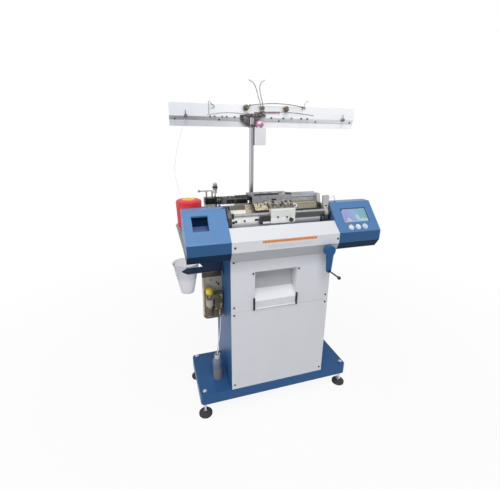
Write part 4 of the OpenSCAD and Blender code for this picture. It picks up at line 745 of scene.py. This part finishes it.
# painted light: the pocket's floor and the foot of its back wall are a lighter blue
POCKET_FLOOR_LIGHT = Zone(UP, 1.096, 1.116, (0.14, 0.19, 0.40), within=(
    POCKET_WIDTH, Zone(BACK, -0.092, -0.018)))
CONSOLE = ConsoleFinish("console_paint", (0.030, 0.098, 0.235), 0.36, **PAINT, blotch=0.05,
                        extra={"Specular_Tint": SHINE_TINT}, dull=(UNDERSIDE_SHADE, POCKET), zones=(
                            # painted light: the slopes above the fold are a lighter blue
                            Zone(UP, 1.056, FAR, (0.092, 0.205, 0.43), 0.003),
                            UNDERSIDE_SHADE, POCKET, POCKET_FLOOR_LIGHT,
                            # painted light: the right console's left side face is a lighter blue
                            Zone(ACROSS, 0.2995, 0.3025, (0.17, 0.30, 0.54),
                                 within=(Zone(UP, 1.135, FAR, soft=0.03),))))

BEAM_LOW, BEAM_HIGH = solid_box("yarn_beam")
BEAM_FOLD, BEAM_EDGE, BEAM_LEDGE, BEAM_BAND = (
    BEAM_LOW.z + share * (BEAM_HIGH.z - BEAM_LOW.z) for share in (0.235, 0.25, 0.275, 0.44))
# painted shade: the sheet darkens towards its left end, along a band over the fold and on the lower flange
# at the left, and along the fold line
BEAM = ZoneFinish("beam_sheet", (0.93, 0.94, 0.96), 0.34, 0.35, 380, 0.00003, 0.04, streak=BRUSHED, zones=(
    Zone(ACROSS, -FAR, -0.30, (0.74, 0.76, 0.80), 0.2),
    Zone(UP, BEAM_EDGE, BEAM_BAND, (0.44, 0.44, 0.47), 0.004, (Zone(ACROSS, -FAR, -0.28, soft=0.35),)),
    Zone(UP, -FAR, BEAM_FOLD, (0.56, 0.57, 0.62), 0.003, (Zone(ACROSS, -FAR, -0.20, soft=0.35),)),
    Zone(UP, BEAM_FOLD, BEAM_LEDGE, (0.66, 0.67, 0.70), 0.003)))

PACKAGE_LOW, PACKAGE_HIGH = solid_box("yarn_package")
PACKAGE_AXIS = ((PACKAGE_LOW.x + PACKAGE_HIGH.x) / 2, (PACKAGE_LOW.y + PACKAGE_HIGH.y) / 2)
YARN = YarnFinish("red_yarn", (0.80, 0.026, 0.045), 0.75, depth=0.0008, blotch=0.15, edge=0.004,
                  extra={"Sheen_Weight": 0.4, "Sheen_Roughness": 0.5}, centre=PACKAGE_AXIS)
GLASS_LOW, GLASS_HIGH = solid_box("screen_glass")
SCREEN = ScreenFinish("lit_screen", (0.3, 0.4, 0.6), 0.15, grain=50, depth=0.0, blotch=0.02,
                      extra={"Emission_Strength": 0.12, "Coat_Weight": 0.6, "Coat_Roughness": 0.05},
                      left=GLASS_LOW.x, width=GLASS_HIGH.x - GLASS_LOW.x)
# under the turn at 1.001 m the cover's downward return is painted darker as shade
COVER = StripeFinish("cover_print", WHITE_TINT, **ENAMEL, stripe=(-0.1355, 0.1665, 1.0385, 1.0535),
                     front=solid_box("front_cover")[0].y + 0.001, turn=1.001, under=(0.50, 0.51, 0.53))

NODE_FINISH: dict[str, Finish] = {
    "base_plinth": BLUE, "foot_pads": RUBBER, "foot_hardware": STEEL, "side_frames": BLUE,
    "rear_cover": BLUE, "lower_front_panel": WHITE, "upper_front_panel": PANEL, "deck_plate": CAST,
    "delivery_chute": DUCT, "chute_flap": WHITE, "flap_brackets": DARK, "front_cover": COVER,
    "left_console": CONSOLE, "right_console": CONSOLE, "touch_screen": BEZEL, "screen_glass": SCREEN,
    "button_collars": PALE, "stop_button": RED_CAP, "start_button": GREEN_CAP,
    "reset_button": LILAC_CAP, "operating_lever": BLUE, "lever_handle": BLACK, "bed_frame": CAST,
    "needle_beds": BED, "needles": NEEDLE, "bed_covers": APRON, "carriage_rails": RAIL,
    "head_end_frames": ENDS, "front_cam_plate": CAM, "carriage_bridge": BRIDGE,
    "carriage_fittings": BLACK, "cam_knob": BLACK, "selector_drum": DRUM, "selector_shelf": DARK,
    "selector_motor": SELECTOR, "tension_knob": STEEL, "rear_guard": STAINLESS, "drive_motor": MOTOR,
    "motor_pulley": STEEL, "drive_belt": BELT, "main_shaft": STEEL, "yarn_post": POST,
    "beam_clamp": CLAMP, "yarn_beam": BEAM, "beam_fittings": FITTING, "left_take_up": WIRE,
    "right_take_up": WIRE, "stop_motion_box": BOX, "signal_lamp": PINK, "bowl_arms": ARM,
    "yarn_bowls": MILKY, "yarn_package": YARN, "oil_bracket": ZINC, "oil_pump": PUMP,
    "oil_bowl": AMBER, "oil_cap": YELLOW, "waste_bottle": BOTTLE, "yarn_line": THREAD,
    "drain_hose": MILKY, "console_cable": PALE,
}


@dataclass
class Studio:
    """Camera, light and floor."""

    eye: Point = (-0.6389, -1.5231, 1.5261)  # the camera's place in metres
    right: Point = (0.9549, -0.29687, 0.00604)  # the camera's directions
    up: Point = (0.08761, 0.30112, 0.94955)
    ahead: Point = (0.28371, 0.9062, -0.31355)
    focal_px: float = 312.67
    image_px: tuple[int, int] = (500, 489)
    centre_px: Pair = (249.3, 243.1)  # where the line of sight meets the image
    sensor_mm: float = 36.0
    reach: float = 100.0  # metres to which the camera sees
    # name, place, target, side in metres and power in watts of each soft lamp
    lamps: tuple[tuple[str, Point, Point, float, float], ...] = (
        ("overhead", (-0.4, -1.9, 4.1), (0.0, 0.0, 1.0), 2.6, 106.0),
        ("left_fill", (-3.4, -1.0, 1.5), (0.0, 0.0, 0.8), 2.6, 28.0),
        ("right_fill", (3.4, -1.2, 2.2), (0.0, 0.0, 1.0), 2.4, 12.0))
    sky: Colour = (0.86, 0.90, 1.0)
    sky_level: float = 0.22
    floor_size: float = 40.0
    floor_tint: Colour = (0.86, 0.86, 0.87)
    floor_rough: float = 0.9
    glow: Pair = (0.92, 1.0)  # share of white on the floor, near and far
    glow_span: Pair = (0.8, 3.0)  # metres from the middle that count as near and far

    def camera(self) -> None:
        """Place the camera where the picture was taken."""
        data = bpy.data.cameras.new("camera")
        width, height = self.image_px
        data.sensor_fit = "HORIZONTAL"
        data.sensor_width = self.sensor_mm
        data.lens = self.focal_px * self.sensor_mm / width
        data.shift_x = (width / 2 - self.centre_px[0]) / width
        data.shift_y = (self.centre_px[1] - height / 2) / width
        data.clip_end = self.reach
        view = Matrix((self.right, self.up, [-a for a in self.ahead])).transposed().to_4x4()
        view.translation = self.eye
        camera = bpy.data.objects.new("camera", data)
        camera.matrix_world = view
        bpy.context.scene.collection.objects.link(camera)
        bpy.context.scene.camera = camera

    @staticmethod
    def seen(board: Board) -> Socket:
        """One for rays from the camera and for those that shiny or clear surfaces send on.

        Args:
            board: the nodes that the value is for.

        Returns:
            The value.
        """
        rays = board.node("ShaderNodeLightPath").outputs
        sent_on = board.math("MAXIMUM", rays["Is Glossy Ray"], rays["Is Transmission Ray"])
        return board.math("MAXIMUM", rays["Is Camera Ray"], sent_on)

    @staticmethod
    def whiten(board: Board, kind: str, share: Socket, under: Socket, output: str) -> None:
        """Lay a plain white shader over another one.

        Args:
            board: the nodes of the material or world.
            kind: Blender's name of the white shader's node.
            share: share of white.
            under: the other shader.
            output: name of the output node.
        """
        white = board.node(kind, Color=(1.0, 1.0, 1.0), Strength=1.0).outputs[0]
        mix = board.node("ShaderNodeMixShader")
        for slot, source in zip(mix.inputs, (share, under, white)):
            board.put(slot, source)
        board.put(board.tree.nodes[output].inputs["Surface"], mix.outputs[0])

    def light(self) -> None:
        """Hang the soft lamps and set a pale world that the camera sees as white."""
        for name, place, target, size, power in self.lamps:
            data = bpy.data.lights.new(name, "AREA")
            data.size = size
            data.energy = power
            lamp = bpy.data.objects.new(name, data)
            lamp.location = place
            lamp.rotation_euler = (Vector(target) - Vector(place)).to_track_quat("-Z", "Y").to_euler()
            bpy.context.scene.collection.objects.link(lamp)
        world = bpy.data.worlds.new("studio")
        board = Board(world)
        sky = board.tree.nodes["Background"]
        board.put(sky.inputs["Color"], self.sky)
        board.put(sky.inputs["Strength"], self.sky_level)
        self.whiten(board, "ShaderNodeBackground", self.seen(board), sky.outputs[0], "World Output")
        bpy.context.scene.world = world
        bpy.context.scene.view_settings.view_transform = "Standard"

    def floor(self) -> None:
        """Lay a pale floor that keeps a soft shadow."""
        Bench.clear()
        bpy.ops.mesh.primitive_plane_add(size=self.floor_size, location=(0.0, 0.0, 0.0))
        floor = bpy.context.object
        floor.name = "studio_floor"
        material = bpy.data.materials.new("studio_floor")
        board = Board(material)
        board.set(Base_Color=self.floor_tint, Roughness=self.floor_rough)
        away = board.node("ShaderNodeVectorMath")
        away.operation = "LENGTH"
        board.put(away.inputs[0], board.place)
        fade = board.spread(away.outputs["Value"], *self.glow, *self.glow_span)
        share = board.product(self.seen(board), fade)
        self.whiten(board, "ShaderNodeEmission", share, board.shader.outputs[0], "Material Output")
        floor.data.materials.append(material)


@dataclass
class Cord:
    """A yarn, hose or cable that stands for a solid."""

    name: str
    node: str
    route: list[Point]  # millimetres over the middle of the base
    diameter: float  # metres
    finish: Finish
    far_end: str = "object"
    stiffness: str = "medium"
    lay: str = "loose"

    def build(self) -> None:
        points = [spot(*point) for point in self.route]
        curve = Bench.spline(self.name, points, self.diameter / 2)
        curve.data.materials.append(self.finish.material())
        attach(curve, Body.FRAME.value)
        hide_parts(self.node)


CORDS = [
    Cord("supply_yarn", "yarn_line", [
        (-484, 80, 1222), (-488, 81, 1240), (-493, 83, 1260), (-498, 86, 1286), (-503, 90, 1312),
        (-507, 95, 1338), (-508, 100, 1364), (-506, 105, 1392), (-502, 110, 1420), (-496, 114, 1450),
        (-488, 118, 1480), (-479, 122, 1510), (-469, 126, 1540), (-459, 130, 1570), (-449, 134, 1598),
        (-440, 138, 1622), (-436.5, 139.7, 1631)], 0.0016, THREAD, stiffness="limp", lay="hanging"),
    Cord("oil_hose", "drain_hose", [
        (-307, 8, 538.8), (-307, 8, 525), (-307, 7, 508), (-308, 5, 490), (-310, 2, 472), (-312, -2, 454),
        (-315, -7, 436), (-319, -13, 418), (-323, -20, 400), (-328, -28, 382), (-333, -36, 365),
        (-337, -44, 349), (-340, -50, 333), (-342, -54, 317), (-343, -56, 302), (-344, -57, 288)],
        0.006, MILKY, lay="hanging"),
    Cord("panel_cable", "console_cable", [
        (299, -88, 1224), (304, -88, 1225), (311, -86, 1227), (319, -82, 1230), (327, -77, 1232),
        (335, -72, 1231), (342, -67, 1228), (348, -64, 1223), (352, -62, 1218), (355, -62, 1212),
        (356, -62, 1206), (356, -62, 1201)], 0.004, PALE),
]


@dataclass
class Solids:
    """The CAD solids and their finishes."""

    finishes: dict[str, Finish] = field(default_factory=lambda: dict(NODE_FINISH))

    def build(self) -> None:
        """Give each solid its finish."""
        for name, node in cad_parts.items():
            node.data.materials.clear()
            node.data.materials.append(self.finishes[name].material())
            LOG.info("solid %s wears %s", name, self.finishes[name].name)


@dataclass
class PanelScrews:
    """Dark screws on the panels, beside the chute and on the cover, in metres."""

    profile: Profile = ((1, 0), (1, 0.5), (0.8, 1), (0.45, 1), (0.4, 0.5))  # one wide and one high
    size: Pair = (5.5, 2.8)  # a head's radius and height in millimetres
    inset: float = 0.0165  # from a panel's edges
    rise: float = 0.012  # of the low screws beyond that
    drop: float = 0.061  # of the high screws from the upper panel's upper edge
    beside: Pair = (0.008, 0.010)  # left and right of the chute
    mouth: float = 0.212  # height of those two over the upper panel's lower edge
    cover_rise: float = 0.083  # over the cover's lower edge
    cover_inset: float = 0.0099  # from the cover's right edge

    def head(self, name: str, *place: float) -> None:
        """Add one forward-facing screw head at a place in metres."""
        Bench.turned(name, scaled(self.profile, *self.size), place, Axis.FRONT, BLACK, sides=SCREW_SIDES)

    def build(self) -> None:
        """Set all the screws."""
        front = solid_box("lower_front_panel")[0].y
        for panel, drop in (("lower_front_panel", self.inset), ("upper_front_panel", self.drop)):
            low, high = solid_box(panel)
            for side, x in (("left", low.x + self.inset), ("right", high.x - self.inset)):
                self.head(f"{panel}_screw_{side}_low", x, front, low.z + self.inset + self.rise)
                self.head(f"{panel}_screw_{side}_high", x, front, high.z - drop)
        mouth = solid_box("upper_front_panel")[0].z + self.mouth
        low, high = solid_box("delivery_chute")
        for side, x in (("left", low.x - self.beside[0]), ("right", high.x + self.beside[1])):
            self.head(f"chute_screw_{side}", x, front, mouth)
        low, high = solid_box("front_cover")
        for side, x in (("left", low.x + self.inset), ("right", high.x - self.cover_inset)):
            self.head(f"cover_screw_{side}", x, low.y, low.z + self.cover_rise)


@dataclass
class Package:
    """The yarn package's cone, which shows on top."""

    profile: Profile = ((1, 0), (1, 0.5), (0.92, 0.85), (0.6, 1), (0.3, 1), (0.28, 0.3))
    size: Pair = (34.0, 6.0)  # radius and height over the yarn in millimetres
    sides: int = 48

    def build(self) -> None:
        """Turn the cone's end with its bore."""
        Bench.turned("cone_end", scaled(self.profile, *self.size), (*PACKAGE_AXIS, PACKAGE_HIGH.z),
                     Axis.UPRIGHT, CONE, sides=self.sides)


@dataclass
class HeadTrim:
    """Small hardware of the knitting head, in millimetres over the middle of the base."""

    profile: Profile = ((1, 0), (1, 0.7), (0.75, 1), (0.4, 1), (0.35, 0.6))  # of a slotted stud
    stud_length: float = 6.0
    pin: float = 4.5  # radius of the cam plate's pins
    apron_y: float = -111.5  # front of the apron
    cam_y: float = -132.0  # front of the cam plate
    cam_fall: float = 0.572  # of the cam plate's upper face
    cam_top: Pair = (-62.0, 1224.0)  # depth and height of its upper edge
    cam_reach: Pair = (2.0, 5.0)  # of the cams below and over that face
    wing_fall: float = 0.66  # of the small plate beside it
    wing_top: Pair = (-82.0, 1196.5)  # depth and height of its middle
    wing_cam: tuple[float, ...] = (2.5, 5.0, 1.0, 3.0)  # half width and depth, reach below and over
    end_fall: float = 50 / 93  # of the left end frame's upper edge
    ring: Point = (280.0, -95.5, 1182.0)  # middle of the wire ring
    ring_radius: float = 10.0
    wires: Pair = (0.0022, 0.002)  # radius of the hook's and the ring's wire in metres
    knob: Point = (-288.5, 153.9133, 1256.0)  # foot of the tension knob's cap

    def stud(self, name: str, place: Point, radius: float, finish: Finish, body: Body = Body.FRAME) -> None:
        """Add a forward-facing stud with a slotted end."""
        outline = scaled(self.profile, radius, self.stud_length)
        Bench.turned(name, outline, spot(*place), Axis.FRONT, finish, body, SCREW_SIDES)

    def apron(self) -> None:
        """Clamp studs and the strap on the apron, the dark bar behind the rail and the rail's cap."""
        studs = ((-251, 1127, 7), (-238, 1131, 6), (-192, 1132, 5), (-133, 1134, 5), (-124, 1135, 6))
        for index, (x, z, radius) in enumerate(studs):
            self.stud(f"apron_stud_{index}", (x, self.apron_y, z), radius, BLACK)
        Bench.block("apron_strap", spot(243, -117.5, 1098), spot(253, self.apron_y, 1140), BLACK)
        Bench.block("needle_bar", spot(-128, -103, 1160), spot(248, -97, 1177), DARK)
        Bench.block("rail_cap", spot(-262, -117, 1146), spot(-248, -102, 1172), DARK)

    def cams(self) -> None:
        """Cams on the cam plate's upper face and on the small plate beside it."""
        tilt, (sunk, proud) = math.atan(self.cam_fall), self.cam_reach
        # left and right end, middle of the depth, half the depth
        cams = ((-52, -43, -84, 9, BRASS), (-40, -28, -98, 6, OLIVE), (-34, -22, -78, 5, DARK),
                (-18, -6, -90, 8, BRASS), (-2, 8, -79, 6, CAST), (0, 14, -102, 5, DARK),
                (18, 27, -88, 9, OLIVE), (31, 45, -97, 6, CAST), (40, 52, -78, 5, DARK),
                (56, 66, -90, 8, BRASS), (68, 77, -80, 6, DARK), (62, 74, -103, 5, OLIVE))
        for index, (left, right, y, half, finish) in enumerate(cams):
            z = self.cam_top[1] + self.cam_fall * (y - self.cam_top[0])
            Bench.block(f"cam_{index}", spot(left, y - half, z - sunk), spot(right, y + half, z + proud),
                        finish, Body.CARRIAGE, tilt)
        tilt = math.atan(self.wing_fall)
        Bench.block("cam_wing", spot(-130, -106.5, 1193), spot(-58.5, -58, 1196), WING, Body.CARRIAGE, tilt)
        # middle across, place along the slope
        wing_cams = ((-122, -10, BRASS), (-110, 12, OLIVE), (-103, -8, BRASS), (-95, 4, DARK),
                     (-83, 10, BRASS), (-76, -4, PALE), (-69, 13, DARK), (-65, -12, BRASS))
        wide, deep, sunk, proud = self.wing_cam
        for index, (x, along, finish) in enumerate(wing_cams):
            y = self.wing_top[0] + along * math.cos(tilt)
            z = self.wing_top[1] + along * math.sin(tilt)
            Bench.block(f"wing_cam_{index}", spot(x - wide, y - deep, z - sunk),
                        spot(x + wide, y + deep, z + proud), finish, Body.CARRIAGE, tilt)

    def carriage(self) -> None:
        """Pins, cams and small plates that ride with the carriage."""
        ride = Body.CARRIAGE
        self.stud("cam_pin_left", (-18, self.cam_y, 1147), self.pin, DARK, ride)
        self.stud("cam_pin_right", (33, self.cam_y, 1144), self.pin, DARK, ride)
        Bench.block("guide_plate", spot(-101, -135, 1114), spot(-59, -133, 1127), STAINLESS, ride)
        self.cams()
        Bench.block("bridge_latch", spot(-29, -66, 1220), spot(-3, -62, 1231), DARK, ride)
        Bench.block("bridge_lug", spot(-68, -65, 1208), spot(-10, -62, 1216), PALE, ride)
        Bench.block("bridge_cap", spot(60, -60, 1250), spot(87, -28, 1257), BLACK, ride)
        hook = ((78, -100, 1200.5), (87, -104, 1206), (94, -108, 1203), (96, -111, 1197), (90, -114, 1191),
                (78, -117, 1190.5))
        Bench.wire("cam_hook", hook, self.wires[0], STAINLESS, ride)

    def ends(self) -> None:
        """Dark block that stands in for shade by the right end frame, hand knob and wire ring of the right
        end bracket, and the left end frame's bar.
        """
        outline = ((6, 0), (6, 6), (12, 8), (13.5, 12), (13.5, 22), (11, 25))
        # painted shade: a black block where the right end frame lies in shade
        Bench.block("end_shade_block", spot(250.5, -76, 1168), spot(261.5, -50, 1197), BLACK)
        Bench.turned("bracket_knob", outline, spot(291, -94, 1146), Axis.FRONT, BLACK)
        (x, y, z), radius = self.ring, self.ring_radius
        turns = [math.tau * step / RING_STEPS for step in range(RING_STEPS + 1)]
        ring = tuple((x + radius * math.cos(turn), y, z + radius * math.sin(turn)) for turn in turns)
        Bench.wire("eye_ring", ring, self.wires[1], PALE)
        Bench.block("end_bar", spot(-312, -93, 1209.4), spot(-241, -83, 1217.4), STAINLESS,
                    tilt=math.atan(self.end_fall))

    def selector(self) -> None:
        """Cap and ring of the tension knob and the bright strip on the selector's shelf."""
        cap = ((12.5, 0), (13.5, 2), (13.5, 9), (11.5, 11), (11.5, 26), (12.5, 28), (12.5, 34), (10.5, 36))
        ring = ((13.5, 10), (15.5, 12), (15.5, 19), (13.5, 21))
        for name, outline, finish in (("tension_cap", cap, CAST), ("tension_ring", ring, BLACK)):
            Bench.turned(name, outline, spot(*self.knob), Axis.UPRIGHT, finish, Body.TENSION)
        Bench.block("shelf_strip", spot(-285, 125.2, 1158.3), spot(-165, 128.2, 1168), STAINLESS)

    def build(self) -> None:
        """Add all of the head's hardware."""
        self.apron()
        self.carriage()
        self.ends()
        self.selector()


@dataclass
class OilTrim:
    """Folded edges, grommet and drain sleeve of the oil unit, in metres."""

    corner: float = 0.030  # radius of the plate's round corners
    fold: float = 0.009  # how far the folded edges stand forward
    sheet: float = 0.004  # thickness of the plate
    lip: float = 0.009  # width of the folded side edge
    hood: Pair = (0.012, 0.015)  # below and over the plate's upper edge
    grommet: Pair = (0.0215, 0.220)  # from the plate's right and lower edge
    sides: int = 20  # of its round parts

    def build(self) -> None:
        """Fold the plate's edges and add the small parts on it."""
        low, high = solid_box("oil_bracket")
        hood_low, hood_high = high.z - self.hood[0], high.z + self.hood[1]
        Bench.block("oil_plate_lip", (low.x, low.y - self.fold, low.z + self.corner),
                    (low.x + self.lip, low.y, hood_low), LIP)
        Bench.block("oil_plate_hood", (low.x, low.y - self.fold, hood_low),
                    (high.x - self.sheet, low.y + self.sheet, hood_high), OLIVE)
        outline = ((6.5, 0), (6.5, 2), (5, 3.5), (3, 3.5), (2.5, 1))
        place = (high.x - self.grommet[0], low.y, low.z + self.grommet[1])
        Bench.turned("oil_grommet", outline, place, Axis.FRONT, BLACK, sides=self.sides)
        sleeve = ((7.5, 0), (7.5, 8), (6.2, 9), (6.2, 35), (7.5, 36), (7.5, 44))
        Bench.turned("drain_sleeve", sleeve, spot(-307.5, 8, 545), Axis.UPRIGHT, BRASS, sides=self.sides)


@dataclass
class BeamTrim:
    """Screws and bent wires of the yarn beam, in millimetres over the middle of the base."""

    wire: float = 0.0014  # radius of the bent wires in metres
    rod: float = 0.003  # radius of the guide rod in metres
    plane: float = 146.0  # depth of the wires
    seat: float = 150.5  # depth of their ends in the beam
    rod_plane: float = 146.8  # depth of the guide rod
    screws: tuple[float, ...] = (-487, -255, 88, 318, 549)  # places across the machine
    screw_row: Pair = (158.6, 1627.5)  # their depth and height
    screw_sides: int = 12

    def build(self) -> None:
        """Set the screws and bend the wires."""
        outline = ((4.5, 0), (4.5, 2), (3.5, 3), (1.5, 3), (1, 2))
        for index, x in enumerate(self.screws):
            Bench.turned(f"beam_screw_{index}", outline, spot(x, *self.screw_row), Axis.FRONT, BLACK,
                         sides=self.screw_sides)
        out, seat = self.plane, self.seat
        hook = ((-310, seat, 1656), (-311, out, 1660), (-310, out, 1690), (-309, out, 1714),
                (-297, out, 1703), (-281, out, 1691), (-292, out, 1684), (-300, seat, 1681))
        curl = ((226, seat, 1689), (228, out, 1695), (236, out, 1700), (241, out, 1693),
                (237, out, 1708), (241, out, 1724), (250, out, 1734), (259, out, 1731))
        rod = tuple((x, self.rod_plane, z) for x, z in ((-62, 1667), (10, 1669), (88, 1671)))
        Bench.wire("hook_wire", hook, self.wire, WIRE)
        Bench.wire("curled_wire", curl, self.wire, WIRE)
        Bench.wire("guide_rod", rod, self.rod, ROSE)


def main() -> None:
    """Dress the machine, add its small pieces and set the studio."""
    logging.basicConfig(level=logging.INFO, format="%(message)s")
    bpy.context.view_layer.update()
    studio = Studio()
    studio.camera()
    studio.light()
    studio.floor()
    for part in (Solids(), *CORDS, PanelScrews(), Package(), HeadTrim(), OilTrim(), BeamTrim()):
        part.build()
    Bench.clear()


if __name__ == "__main__":
    main()
